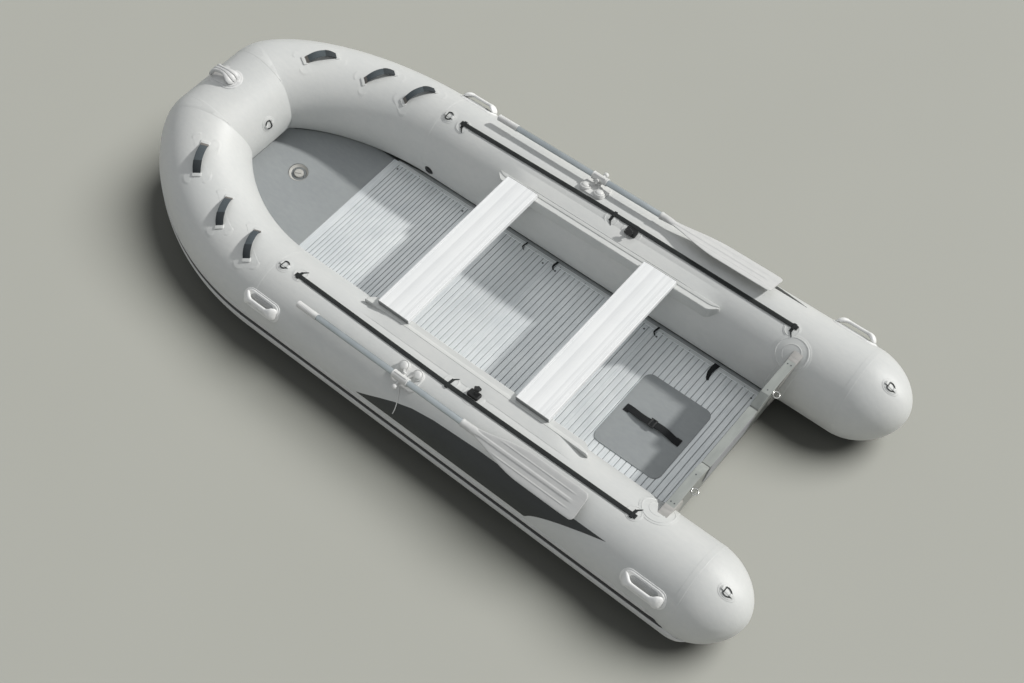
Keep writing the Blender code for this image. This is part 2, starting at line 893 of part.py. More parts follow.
def make_transom():
    port = transom_sides()
    starboard = [(-y, z) for y, z in reversed(port[1:])]
    bm = plate_across(port + starboard, transom_run)
    transom_shear(bm, joint_x - transom_station)
    add_part("transom_board", bm, transom_grey)
    top = transom_height - transom_cut_depth - motor_pad_drop
    foot = floor_top + motor_pad_foot
    outline = [
        (-motor_pad_width / 2, foot),
        (motor_pad_width / 2, foot),
        (motor_pad_width / 2, top),
        (-motor_pad_width / 2, top),
    ]
    pads = (
        ("motor_pad_aft", -transom_run - seat_gap),
        ("motor_pad_fore", seat_gap + motor_pad_thickness),
    )
    for name, x in pads:
        bm = plate_across(outline, motor_pad_thickness)
        transom_shear(bm, joint_x - transom_station + x)
        add_part(name, bm, dark_plastic)


def make_eyes():
    """Eye bolts on the transom's aft face, each a ring on a round plate."""
    reach = eye_ring_radius + eye_wire_radius + eye_plate_thickness
    for name, side in (("eye_bolt_port", 1), ("eye_bolt_starboard", -1)):
        plate = rod(eye_plate_radius, eye_plate_thickness)
        ring_points = []
        for i in range(16):
            turn = 2 * math.pi * i / 16
            ring_points.append(
                (0, eye_ring_radius * math.cos(turn), reach - eye_wire_radius + eye_ring_radius * math.sin(turn))
            )
        ring = wire(ring_points, eye_wire_radius, closed=True)
        eye = add_part(name, joined([plate, ring]), steel)
        z = transom_height - eye_drop
        x = transom_front(z) - transom_run - 3 * seat_gap
        tilt = math.radians(transom_tilt)
        turn = Matrix.Rotation(-math.pi / 2 - tilt, 4, "Y")
        eye.data.transform(Matrix.Translation((x, side * eye_spacing / 2, z)) @ turn)


def strake_profile(gap):
    """(angle, height) round the strake's section, which has two grooves."""
    folds = [-k * tube_step for k in range(tube_sides)]
    width = strake_top_angle - strake_bottom_angle
    groove = strake_groove / strake_depth
    face = ((0.06, 1), (0.30, 1), (0.36, groove), (0.42, 1), (0.60, 1), (0.66, groove), (0.72, 1), (0.94, 1))
    profile = [(strake_top_angle, gap)]
    profile += [(angle, gap) for angle in folds if strake_bottom_angle < angle < strake_top_angle]
    profile += [(strake_bottom_angle, gap), (strake_bottom_angle, strake_edge)]
    profile += [(strake_bottom_angle + width * share, strake_depth * depth) for share, depth in face]
    return profile + [(strake_top_angle, strake_edge)]


def make_strake():
    """The rub strake, glued to the tubes' outer sides all round from stern to stern."""
    profile = strake_profile(seat_gap)
    ends = (cone_start_x, joint_x - strake_lead)
    port = [side_ring(x, profile, 1) for x in ends]
    starboard = [side_ring(x, profile, -1) for x in reversed(ends)]
    bow = []
    for i in range(len(bow_line)):
        share = min(i, len(bow_line) - 1 - i) / (len(knots) - 1)
        bow.append(bow_ring(i, strake_profile(seat_gap + (strake_gap - seat_gap) * share)))
    add_part("rub_strake", loft(port + bow + starboard), strake_rubber)


# Benches


def skin_height(y):
    """Height just over the side tube's upper inner quarter, at a distance from the middle of the boat."""
    points = [side_ring(0, [(90 + k, seat_gap)], 1)[0] for k in range(91)]
    near = min(points, key=lambda p: abs(p.y - y))
    return near.z + seat_gap


def make_rails():
    """Glued rails with a ledge that carries the benches' ends and a lip outboard of them."""
    ledge = bench_top - bench_thickness - seat_gap
    step = bench_half_length + seat_gap
    lip_top = ledge + rail_lip_height
    start = joint_x - rail_front - rail_length
    inner = step - rail_ledge_width
    outer = step + rail_lip_width
    skirt = []
    for k in range(tube_sides):
        angle = k * tube_step
        place = side_ring(0, [(angle, seat_gap)], 1)[0]
        if 90 <= angle <= 180 and inner < place.y < outer:
            skirt.append((place.y, place.z))
    skirt.sort(reverse=True)

    outline = [(outer, skin_height(outer))] + skirt + [(inner, skin_height(inner))]
    outline += [(inner, ledge), (step, ledge), (step, lip_top), (outer, lip_top)]
    bm = prism(outline, rail_length)
    bm.transform(Matrix(((0, 0, 1, start), (1, 0, 0, 0), (0, 1, 0, 0), (0, 0, 0, 1))))
    port = add_part("bench_rail_port", bm, pale_plastic)
    mirrored(port, "bench_rail_starboard")


def make_benches():
    for name, station in zip(("bench_fore", "bench_aft"), bench_stations):
        half = bench_width / 2
        low = bench_top - bench_thickness
        chamfer = bench_groove
        outline = [(-half, low + chamfer), (-half, bench_top - chamfer), (-half + chamfer, bench_top)]
        pitch = (bench_width - 2 * chamfer) / (bench_grooves + 1)
        for i in range(1, bench_grooves + 1):
            middle = -half + chamfer + pitch * i
            outline += [
                (middle - bench_groove / 2, bench_top),
                (middle, bench_top - bench_groove / 2),
                (middle + bench_groove / 2, bench_top),
            ]
        outline += [(half - chamfer, bench_top), (half, bench_top - chamfer), (half, low + chamfer)]
        outline += [(half - chamfer, low), (-half + chamfer, low)]
        plank = standing(outline, 2 * bench_half_length)
        x = joint_x - station
        plank.transform(Matrix.Translation((x, 0, 0)))
        part = add_part(name, plank, bench_metal)
        set_origin(part, Vector((x, 0, bench_top)))


# Oars


def rowlock_frame():
    """Axes at the oar's axis over the rowlock: X aft, Y across the oar, Z out from the tube."""
    turn = math.radians(rowlock_angle)
    outward = Vector((0, math.cos(turn), math.sin(turn)))
    aft = Vector((-1, 0, 0))
    across = outward.cross(aft)
    centre = tube_axis(rowlock_station)
    place = centre + outward * (tube_radius * skin(rowlock_angle) + oar_lift)
    matrix = Matrix((aft, across, outward)).transposed().to_4x4()
    return Matrix.Translation(place) @ matrix


def make_rowlocks():
    base = rounded_box(rowlock_length, rowlock_width, rowlock_height, rowlock_height)
    base_turn = math.degrees(rowlock_base_offset / tube_radius)
    wrapped(base, rowlock_station, rowlock_angle + base_turn)
    post_height = oar_lift - collar_radius - seat_gap
    post = rod(rowlock_post_radius, post_height - rowlock_height / 2)
    post.transform(Matrix.Translation((0, 0, rowlock_height / 2 - oar_lift)))
    bodies = [post]
    for side in (-1, 1):
        ear = rod(rowlock_ear_radius, rowlock_ear_height, end_radius=rowlock_ear_radius * 0.7)
        place = (side * rowlock_ear_spacing / 2, rowlock_ear_offset, -oar_lift)
        ear.transform(Matrix.Translation(place))
        bodies.append(ear)
    for bm in bodies:
        bm.transform(rowlock_frame())
    port = add_part("rowlock_port", joined([base] + bodies), pale_plastic)
    mirrored(port, "rowlock_starboard")


def blade_outline():
    """Plan of the blade, from its neck at x=0 to its squared end."""
    neck = blade_neck_width / 2
    half = blade_width / 2
    corner = half / 3
    shares = ((0.0, 0.0), (0.10, 0.10), (0.22, 0.45), (0.34, 0.80), (0.46, 1.0))
    side = [(blade_length * along, neck + (half - neck) * out) for along, out in shares]
    side += [(blade_length - corner, half), (blade_length, half - corner)]
    return side + [(x, -y) for x, y in reversed(side)]


def bar_along(radius, start, end, sides=16, end_radius=None):
    """A round bar along the oar, from one distance aft of the pin to another."""
    bm = rod(radius, end - start, sides, end_radius)
    bm.transform(Matrix.Translation((start, 0, 0)) @ Matrix.Rotation(math.pi / 2, 4, "Y"))
    return bm


def make_oars():
    grip_end = -oar_fore_reach
    shaft_start = grip_end + grip_length
    ferrule_start = shaft_aft_reach
    blade_start = ferrule_start + ferrule_length
    collar = collar_length / 2
    shaft_line = [
        (0, shaft_start + seat_gap),
        (shaft_radius, shaft_start + seat_gap),
        (shaft_radius, -collar),
        (collar_radius, -collar),
        (collar_radius, collar),
        (shaft_radius, collar),
        (shaft_radius, ferrule_start - seat_gap),
        (0, ferrule_start - seat_gap),
    ]
    shaft = turned(shaft_line, sides=16)
    shaft.transform(Matrix.Rotation(math.pi / 2, 4, "Y"))
    grip = bar_along(grip_radius, grip_end, shaft_start)
    ferrule = bar_along(ferrule_radius, ferrule_start, blade_start)
    blade = prism(blade_outline(), blade_thickness)
    blade.transform(Matrix.Translation((blade_start - overrun, 0, -blade_thickness / 2)))
    spine = bar_along(blade_spine_radius, blade_start - overrun, blade_start + blade_length * 0.86, 12, blade_thickness * 0.6)
    frame = rowlock_frame()
    for bm in (shaft, grip, ferrule, blade, spine):
        bm.transform(frame)
    pieces = [add_part("oar_shaft_port", shaft, oar_metal), add_part("oar_grip_port", grip, pale_plastic)]
    pieces.append(add_part("oar_blade_port", joined([blade, ferrule, spine]), pale_plastic))
    pin = frame.translation
    for piece in pieces:
        other = mirrored(piece, piece.name.replace("port", "starboard"))
        set_origin(piece, pin)
        set_origin(other, Vector((pin.x, -pin.y, pin.z)))


# Fittings


def ring_fitting():
    """A D-ring lying on its round patch, under a keeper."""
    patch = turned(
        [
            (0, 0),
            (ring_patch_radius, 0),
            (ring_patch_radius, ring_patch_thickness / 2),
            (ring_patch_radius * 0.92, ring_patch_thickness),
            (0, ring_patch_thickness),
        ],
        sides=20,
    )
    keeper = rounded_box(
        ring_keeper_length, ring_keeper_width, ring_patch_thickness + 2 * ring_wire_radius, ring_wire_radius
    )
    keeper.transform(Matrix.Translation((0, 0, ring_patch_thickness / 2)))
    bow_points = []
    for i in range(13):
        turn = math.pi * (i / 12 - 0.5)
        bow_points.append((ring_radius * math.cos(turn), ring_radius * math.sin(turn), 0))
    ring = wire(bow_points, ring_wire_radius, closed=True)
    ring.transform(Matrix.Translation((0, 0, ring_patch_thickness + ring_wire_radius * 0.8)))
    return joined([patch, keeper, ring])


def make_rings():
    fitting = wrapped(ring_fitting(), fore_ring_station, fore_ring_angle)
    port = add_part("d_ring_fore_port", fitting, steel)
    mirrored(port, "d_ring_fore_starboard")
    fitting = wrapped(ring_fitting(), nose_station, bow_ring_angle, bow_gap)
    add_part("d_ring_bow", fitting, steel)
    station = joint_x - cone_start_x + aft_ring_setback
    fitting = wrapped(ring_fitting(), station, aft_ring_angle, bow_gap)
    port = add_part("d_ring_aft_port", fitting, steel)
    mirrored(port, "d_ring_aft_starboard")


def make_carry_handles():
    names = ("carry_handle_fore_port", "carry_handle_aft_port")
    foot = (carry_grip_length - carry_grip_thickness) / 6
    for name, station, angle in zip(names, carry_handle_stations, carry_handle_angles):
        base = rounded_box(carry_length, carry_width, carry_base, carry_width / 2.2, steps=5)
        outline = arch(
            carry_grip_length, carry_grip_height, carry_grip_thickness, foot, carry_base / 2
        )
        grip = standing(outline, carry_grip_width)
        grip.transform(Matrix.Translation((0, 0, carry_base / 4)))
        handle = wrapped(joined([base, grip]), station, angle, bow_gap)
        port = add_part(name, handle, pale_plastic)
        mirrored(port, name.replace("port", "starboard"))


def make_lift_straps():
    for i, (station, turn) in enumerate(zip(lift_strap_stations, lift_strap_turns)):
        outline = arch(
            lift_strap_length,
            lift_strap_height,
            lift_strap_thickness,
            lift_pad_length / 2,
            lift_pad_thickness / 2,
        )
        bodies = [standing(outline, lift_strap_width)]
        for side in (-1, 1):
            pad = rounded_box(lift_pad_length, lift_pad_width, lift_pad_thickness, lift_pad_length / 4)
            middle = side * (lift_strap_length - lift_pad_length / 2) / 2
            pad.transform(Matrix.Translation((middle, 0, -lift_pad_thickness / 4)))
            bodies.append(pad)
        gap = bow_gap + lift_pad_thickness / 4
        strap = joined(bodies)
        strap.transform(Matrix.Rotation(math.radians(turn), 4, "Z"))
        strap = wrapped(strap, station, lift_strap_angle, gap)
        port = add_part(f"lift_strap_{i + 1}_port", strap, strap_grey)
        mirrored(port, f"lift_strap_{i + 1}_starboard")


def make_bow_handle():
    base = rounded_box(bow_handle_width, bow_handle_length, bow_handle_base, bow_handle_width / 2.2, steps=6)
    foot = (bow_handle_grip_length - bow_handle_grip_thickness) / 6
    outline = arch(
        bow_handle_grip_length,
        bow_handle_grip_height,
        bow_handle_grip_thickness,
        foot,
        bow_handle_base / 2,
    )
    grip = standing(outline, bow_handle_grip_width)
    grip.transform(Matrix.Translation((0, 0, bow_handle_base / 4)) @ Matrix.Rotation(math.pi / 2, 4, "Z"))
    handle = wrapped(joined([base, grip]), nose_station, bow_handle_angle, bow_gap)
    add_part("bow_handle", handle, pale_plastic)


def keeper_outline():
    """Side outline of a line patch's keeper: a low bridge that the line passes under."""
    half = line_width / 2 + line_slack
    wall = line_keeper_wall
    top = line_patch_thickness / 2 + line_thickness + line_slack
    return [
        (-half - wall, 0),
        (-half - wall, top),
        (-half, top + wall),
        (half, top + wall),
        (half + wall, top),
        (half + wall, 0),
        (half, 0),
        (half, top),
        (-half, top),
        (-half, 0),
    ]


def line_patches():
    """Round patches for the lifeline, each with the keeper that the line passes under."""
    bodies = []
    for station, angle in zip(line_patch_stations, line_angles):
        patch = turned(
            [
                (0, 0),
                (line_patch_radius, 0),
                (line_patch_radius, line_patch_thickness / 2),
                (line_patch_radius * 0.92, line_patch_thickness),
                (0, line_patch_thickness),
            ],
            sides=20,
        )
        keeper = standing(keeper_outline(), line_keeper_length)
        keeper.transform(Matrix.Rotation(math.pi / 2, 4, "Z"))
        keeper.transform(Matrix.Translation((0, 0, line_patch_thickness / 2)))
        bodies.append(wrapped(joined([patch, keeper]), station, angle, -weld_depth))
    return bodies


def make_lifelines():
    """Webbing grab lines through the three patches' keepers, along each side tube."""
    stations = (line_patch_stations[0] - line_tail, *line_patch_stations, line_patch_stations[2] + line_tail)
    angles = (line_angles[0], *line_angles, line_angles[2])
    height = line_patch_thickness - weld_depth + seat_gap + line_thickness / 2
    places = []
    for (s0, a0), (s1, a1) in zip(zip(stations, angles), list(zip(stations, angles))[1:]):
        runs = 2 if s1 - s0 < tube_radius / 2 else 12
        for i in range(runs):
            share = i / runs
            places.append((s0 + (s1 - s0) * share, a0 + (a1 - a0) * share))
    places.append((stations[-1], angles[-1]))
    facet = math.radians((line_angles[0] // tube_step + 0.5) * tube_step)
    out = Vector((0, math.cos(facet), math.sin(facet)))
    across = Vector((0, -math.sin(facet), math.cos(facet)))
    rings = []
    for station, angle in places:
        middle = on_tube(station, angle, height)
        half, thick = line_width / 2, line_thickness / 2
        corners = ((half, -thick), (half, thick), (-half, thick), (-half, -thick))
        rings.append([middle + across * a + out * b for a, b in corners])
    port = add_part("lifeline_port", loft(rings), webbing)
    mirrored(port, "lifeline_starboard")


def make_inflation_valves():
    profile = [
        (0, 0),
        (inflation_valve_radius, 0),
        (inflation_valve_radius, inflation_valve_height / 3),
        (inflation_valve_radius * 0.7, inflation_valve_height / 2),
        (inflation_valve_radius * 0.7, inflation_valve_height),
        (0, inflation_valve_height),
    ]
    bm = wrapped(turned(profile, sides=20), inflation_valve_station, inflation_valve_angle)
    port = add_part("inflation_valve_port", bm, dark_plastic)
    mirrored(port, "inflation_valve_starboard")


def make_accessory_mounts():
    base = rounded_box(mount_length, mount_width, mount_base_height, mount_base_height / 2)
    wrapped(base, mount_station, mount_angle)
    post = rod(mount_post_radius, mount_post_height)
    knob = rod(mount_knob_radius, mount_knob_height, 12)
    knob.transform(Matrix.Translation((0, 0, mount_post_height - mount_knob_height / 2)))
    turn = math.radians(mount_angle)
    out = Vector((0, math.cos(turn), math.sin(turn)))
    centre = tube_axis(mount_station) + out * (tube_radius + mount_base_height / 2)
    for bm in (post, knob):
        bm.transform(Matrix.Translation(centre) @ Matrix.Rotation(turn - math.pi / 2, 4, "X"))
    port = add_part("accessory_mount_port", joined([base, post, knob]), dark_plastic)
    mirrored(port, "accessory_mount_starboard")


def make_tank_pad():
    x = joint_x - tank_pad_station
    pad = rounded_box(tank_pad_length, tank_pad_width, tank_pad_thickness, tank_pad_corner, steps=6)
    pad.transform(Matrix.Translation((x, tank_pad_offset, floor_top + seat_gap)))
    add_part("tank_pad", pad, grey_skin)
    outline = arch(
        tank_strap_length,
        tank_strap_height,
        tank_strap_thickness,
        tank_strap_width / 2,
        tank_strap_thickness / 2,
    )
    strap = standing(outline, tank_strap_width)
    height = floor_top + tank_pad_thickness + 2 * seat_gap
    strap.transform(Matrix.Translation((x, tank_pad_offset, height)))
    add_part("tank_strap", strap, webbing)


for old in list(bpy.data.objects):
    bpy.data.objects.remove(old, do_unlink=True)

parts = named_collection("inflatable_boat")
cutters = named_collection("cutters")

tube_skin = paint("tube_skin", (0.78, 0.79, 0.78), 0.45)
grey_skin = paint("grey_skin", (0.36, 0.38, 0.39), 0.55)
strake_rubber = paint("strake_rubber", (0.06, 0.065, 0.07), 0.6)
floor_metal = paint("floor_metal", (0.70, 0.73, 0.74), 0.35, 0.8)
bench_metal = paint("bench_metal", (0.82, 0.84, 0.85), 0.4, 0.3)
oar_metal = paint("oar_metal", (0.50, 0.57, 0.62), 0.35, 0.8)
steel = paint("steel", (0.70, 0.70, 0.70), 0.25, 1.0)
pale_plastic = paint("pale_plastic", (0.80, 0.80, 0.79), 0.5)
dark_plastic = paint("dark_plastic", (0.02, 0.02, 0.022), 0.5)
transom_grey = paint("transom_grey", (0.45, 0.45, 0.45), 0.5)
strap_grey = paint("strap_grey", (0.10, 0.11, 0.14), 0.8)
webbing = paint("webbing", (0.02, 0.02, 0.02), 0.85)

make_tubes()
make_cones()
make_bottom()
make_keel()
make_bow_floor()
make_floor()
make_stringers()
make_transom()
make_eyes()
make_strake()
make_rails()
make_benches()
make_rowlocks()
make_oars()
make_rings()
make_carry_handles()
make_lift_straps()
make_bow_handle()
make_lifelines()
make_inflation_valves()
make_accessory_mounts()
make_tank_pad()
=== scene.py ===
"""Looks of the inflatable boat: its coated fabric, metal floor, benches, oars and fittings."""

import math

import bmesh
import bpy
import numpy as np
from mathutils import Matrix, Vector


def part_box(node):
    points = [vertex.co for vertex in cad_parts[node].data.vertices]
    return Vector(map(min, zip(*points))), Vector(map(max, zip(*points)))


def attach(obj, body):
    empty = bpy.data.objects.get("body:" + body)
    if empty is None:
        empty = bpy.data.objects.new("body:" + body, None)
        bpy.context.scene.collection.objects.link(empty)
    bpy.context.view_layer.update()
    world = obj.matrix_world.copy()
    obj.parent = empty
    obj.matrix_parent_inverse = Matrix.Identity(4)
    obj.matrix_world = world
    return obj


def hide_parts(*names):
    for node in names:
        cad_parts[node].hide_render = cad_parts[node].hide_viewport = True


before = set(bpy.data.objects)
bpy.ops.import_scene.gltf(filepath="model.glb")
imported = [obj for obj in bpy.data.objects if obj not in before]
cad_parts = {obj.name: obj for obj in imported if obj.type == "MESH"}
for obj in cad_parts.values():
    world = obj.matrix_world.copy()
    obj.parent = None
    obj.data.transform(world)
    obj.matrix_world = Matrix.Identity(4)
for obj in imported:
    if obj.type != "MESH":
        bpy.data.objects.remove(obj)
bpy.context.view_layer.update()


# Camera ------------------------------------------------------------------------------------
# A long look down on the port quarter, with the bow at the upper left and the stern at the
# lower right. The boat lies askew in the frame, so the camera is rolled a little.

camera_place = (-2.7835, 2.718, 5.819)
camera_azimuth = math.radians(224.367)
camera_elevation = math.radians(57.305)
camera_roll = math.radians(-5.123)


def stand(name, data, right, up, back, place=(0, 0, 0)):
    """A lamp or camera in the scene, by the directions of its own axes."""
    made = bpy.data.objects.new(name, data)
    bpy.context.collection.objects.link(made)
    rows = [list(row) for row in zip(right, up, back, place)]
    made.matrix_world = Matrix(rows + [[0, 0, 0, 1]])
    return made


camera_data = bpy.data.cameras.new("camera")
camera_data.lens = 48.90
camera_data.sensor_width = 36.0
camera_data.clip_end = 100.0
level = math.cos(camera_elevation)
back = (
    math.sin(camera_azimuth) * level,
    -math.cos(camera_azimuth) * level,
    math.sin(camera_elevation),
)
right = np.array((math.cos(camera_azimuth), math.sin(camera_azimuth), 0.0))
upward = np.cross(back, right)
rolled_right = math.cos(camera_roll) * right + math.sin(camera_roll) * upward
rolled_up = math.cos(camera_roll) * upward - math.sin(camera_roll) * right
camera = stand("camera", camera_data, rolled_right, rolled_up, back, camera_place)
bpy.context.scene.camera = camera


# Studio ------------------------------------------------------------------------------------
# A wide pale floor under a soft sky that is brightest overhead, and one large lamp low over the
# starboard quarter, as in the picture. A broad lamp lights the floor alone, for a soft shadow.

floor_share = 0.236  # of a plain floor's paleness, against its own lamp
floor_reach = 30.0


def screen(red, green, blue, share=1.0):
    """A colour as a screen shows it, 0 to 255, in the linear scale that Blender works in."""
    linear = [share * ((part / 255 + 0.055) / 1.055) ** 2.4 for part in (red, green, blue)]
    return (*linear, 1.0)


class Signal:
    """A value that varies over a surface. Sums and products of signals add Math nodes."""

    def __init__(self, tree, socket=None):
        self.tree = tree
        self.socket = socket

    def node(self, kind, settings=None, values=None, output=0):
        """Adds a node: its settings first, then the values or links of its sockets."""
        made = self.tree.nodes.new("ShaderNode" + kind)
        for key, value in (settings or {}).items():
            setattr(made, key, value)
        for key, value in (values or {}).items():
            if isinstance(value, Signal):
                self.tree.links.new(value.socket, made.inputs[key])
            else:
                made.inputs[key].default_value = value
        return Signal(self.tree, made.outputs[output])

    def maths(self, operation, first, second=0.0):
        return self.node("Math", {"operation": operation}, {0: first, 1: second})

    def __add__(self, other):
        return self.maths("ADD", self, other)

    def __sub__(self, other):
        return self.maths("SUBTRACT", self, other)

    def __rsub__(self, other):
        return self.maths("SUBTRACT", other, self)

    def __mul__(self, other):
        return self.maths("MULTIPLY", self, other)

    def __truediv__(self, other):
        return self.maths("DIVIDE", self, other)

    def __mod__(self, other):
        return self.maths("FLOORED_MODULO", self, other)

    __radd__ = __add__
    __rmul__ = __mul__

    def most(self, other):
        return self.maths("MAXIMUM", self, other)

    def off_middle(self):
        """How far a repeating pattern is from the middle of its step, from 0 to a half."""
        return self.maths("ABSOLUTE", self % 1.0 - 0.5)

    def step(self, low, high):
        """0 below low and 1 above high, with a smooth rise between them."""
        values = {"Value": self, "From Min": low, "From Max": high}
        return self.node("MapRange", {"interpolation_type": "SMOOTHSTEP"}, values)

    def blend(self, first, second):
        """The first colour where this signal is 0, and the second where it is 1.

        A colour of three numbers is as a screen shows it, and one of four is linear.
        """
        values = {0: self, 6: first, 7: second}
        for key in (6, 7):
            if isinstance(values[key], tuple) and len(values[key]) == 3:
                values[key] = screen(*values[key])
        return self.node("Mix", {"data_type": "RGBA"}, values, 2)

    def parts(self):
        """The X, Y and Z of a place."""
        return [self.node("SeparateXYZ", None, {0: self}, i) for i in range(3)]

    def noise(self, scale, detail=2.0, stretch=(1, 1, 1)):
        """Cloudy noise at a place, with its size along each axis stretched."""
        spot = self.node("Mapping", None, {"Vector": self, "Scale": stretch})
        return self.node("TexNoise", None, {"Vector": spot, "Scale": scale, "Detail": detail})


world = bpy.data.worlds.new("sky")
bpy.context.scene.world = world
world.use_nodes = True
sky = Signal(world.node_tree)
seen, mirrored, refracted = (
    sky.node("LightPath", None, None, f"Is {kind} Ray")
    for kind in ("Camera", "Glossy", "Transmission")
)
height = sky.node("TexCoord", None, None, "Generated").parts()[2].most(0.0)
overhead = (height * height).blend((0.17, 0.175, 0.18, 1), (0.73, 0.745, 0.755, 1))
light = seen.most(mirrored).most(refracted).blend(overhead, (0.70, 0.71, 0.71, 1))
background = world.node_tree.nodes["Background"]
world.node_tree.links.new(light.socket, background.inputs["Color"])
background.inputs["Strength"].default_value = 1.0


def far_lamp(name, strength, width, colour, direction):
    """A lamp as far away as the sun, that shines along a direction."""
    data = bpy.data.lights.new(name, "SUN")
    data.energy = strength
    data.angle = math.radians(width)
    data.color = colour
    back = -np.array(direction) / np.linalg.norm(direction)
    right = np.cross((0, 0, 1), back)
    right /= np.linalg.norm(right)
    return stand(name, data, right, np.cross(back, right), back)


sun = far_lamp("sun", 3.05, 3.0, (1.0, 0.985, 0.955), (1.11, 1.375, -1.11))
floor_lamp = far_lamp("floor_lamp", 13.0, 38.0, (1.0, 0.995, 0.985), (0.807, 1.0, -1.684))


def new_material(name):
    """An empty material, and the place on the surface, in metres, that its pattern starts from."""
    material = bpy.data.materials.new(name)
    material.use_nodes = True
    return material, Signal(material.node_tree).node("TexCoord", None, None, "Object")


def dress(material, colour, shine=None, relief=None, depth=0.0, fixed=None):
    """Joins colour, roughness and the relief's height to the shader, and sets what is constant."""
    shader = material.node_tree.nodes["Principled BSDF"]
    for key, value in (fixed or {}).items():
        shader.inputs[key].default_value = value
    bump = relief and relief.node("Bump", None, {"Height": relief, "Distance": depth})
    for key, signal in (("Base Color", colour), ("Roughness", shine), ("Normal", bump)):
        if signal:
            material.node_tree.links.new(signal.socket, shader.inputs[key])


ground_finish, place = new_material("studio_floor")
colours = screen(172, 173, 164, floor_share), screen(177, 178, 169, floor_share)
dress(ground_finish, place.noise(0.7, 3.0).blend(*colours), fixed={"Roughness": 0.9})
ground_mesh = bpy.data.meshes.new("studio_floor")
corners = [(x * floor_reach, y * floor_reach, 0) for x, y in ((-1, -1), (1, -1), (1, 1), (-1, 1))]
ground_mesh.from_pydata(corners, [], [(0, 1, 2, 3)])
ground_mesh.materials.append(ground_finish)
ground = bpy.data.objects.new("studio_floor", ground_mesh)
bpy.context.collection.objects.link(ground)
for lamp, state in ((sun, "EXCLUDE"), (floor_lamp, "INCLUDE")):
    lit = bpy.data.collections.new(f"{lamp.name}_lights")
    lit.objects.link(ground)
    lit.collection_objects[0].light_linking.link_state = state
    lamp.light_linking.receiver_collection = lit
bpy.context.scene.view_settings.view_transform = "Standard"


# Lifelines ---------------------------------------------------------------------------------
# A grab line of flat black webbing runs along the top of each side tube. It is pulled tight
# through the keepers of three round patches and ends in a sewn loop at the first and the last.

tube_radius = 0.225
tube_offset = 0.625  # of a side tube's middle from the middle of the boat
bow_joint_x = 0.8155  # where the side tubes end and the bow tube starts
bow_fullness = 0.722  # how far ahead a side tube's line holds on before it turns in
nose_x = 1.7225
nose_radius = 0.235
nose_corner = 0.202
nose_pull = 0.057
bow_rise = 0.149
bow_rise_power = 2.5
cone_start_x = -1.6953
cone_length = 0.2622
cone_rise = 0.0285
cone_rise_power = 2.3
cone_power = 1.8
cone_round = 1.85
cone_tip_radius = 0.004
hands = ((1, "port"), (-1, "starboard"))


def arc_lengths(path):
    """The length of a path up to each of its points."""
    steps = np.linalg.norm(np.diff(path, axis=0), axis=1)
    return np.concatenate(((0,), np.cumsum(steps)))


def centre_line():
    """Runs ahead of the bow tube's joint, middles, directions and radii, from stern to nose."""
    share = np.sin(np.linspace(math.pi / 2, 0, 61))[:, None]
    side = np.full_like(share, tube_offset)
    heights = tube_radius + cone_rise * share**cone_rise_power
    cone = np.hstack((cone_start_x - cone_length * share, side, heights))
    cone_radii = tube_radius * (1 - share[:, 0] ** cone_power) ** (1 / cone_round)
    cone_radii = np.maximum(cone_radii, cone_tip_radius)

    share = np.linspace(0, 1, 121)[:, None]
    rest = 1 - share
    reach = nose_x - bow_joint_x
    cage = (
        (rest**3, (bow_joint_x, tube_offset)),
        (3 * rest**2 * share, (bow_joint_x + bow_fullness * reach, tube_offset)),
        (3 * rest * share**2, (nose_x, nose_corner + nose_pull)),
        (share**3, (nose_x, nose_corner)),
    )
    plan = sum(weight * np.array(corner) for weight, corner in cage)
    onward = np.clip((plan[:, 0] - bow_joint_x) / reach, 0, 1)
    bow = np.column_stack((plan, tube_radius + bow_rise * onward**bow_rise_power))
    bow_radii = tube_radius + (nose_radius - tube_radius) * onward
    arcs = arc_lengths(bow)
    bow_ahead = np.gradient(bow, arcs, axis=0)
    bow_ahead /= np.linalg.norm(bow_ahead, axis=1)[:, None]

    nose = np.array(((nose_x, 0, bow[-1, 2]), (nose_x, -nose_corner, bow[-1, 2])))
    straight = cone[:, 0] - bow_joint_x
    runs = np.concatenate((straight, arcs, arcs[-1] + nose_corner * np.array((1, 2))))
    level_ahead = np.tile((1, 0, 0), (len(straight), 1))
    ahead = np.vstack((level_ahead, bow_ahead, ((0, -1, 0), (0, -1, 0))))
    radii = np.concatenate((cone_radii, bow_radii, (nose_radius, nose_radius)))
    return runs, np.vstack((cone, bow, nose)), ahead, radii


line_runs, line_middles, line_ahead, line_radii = centre_line()
bow_runs = line_runs[(line_runs >= 0) & (line_runs < line_runs[-2])]
corner_run = bow_runs[-1]
nose_run = line_runs[-2]
cone_start_run = cone_start_x - bow_joint_x


def on_hull(run, angle, lift=0.0):
    """Points over the port tube, at degrees from straight outboard and a height off the skin."""
    run, angle, lift = np.broadcast_arrays(run, angle, lift)
    middle = np.stack([np.interp(run, line_runs, line_middles[:, i]) for i in range(3)], -1)
    ahead = np.stack([np.interp(run, line_runs, line_ahead[:, i]) for i in range(3)], -1)
    ahead /= np.linalg.norm(ahead, axis=-1)[..., None]
    outboard = np.stack((-ahead[..., 1], ahead[..., 0], np.zeros(run.shape)), -1)
    outboard /= np.linalg.norm(outboard, axis=-1)[..., None]
    over = np.cross(ahead, outboard)
    turn = np.radians(angle)
    reach = (np.interp(run, line_runs, line_radii) + lift)[..., None]
    return middle + reach * (np.cos(turn)[..., None] * outboard + np.sin(turn)[..., None] * over)


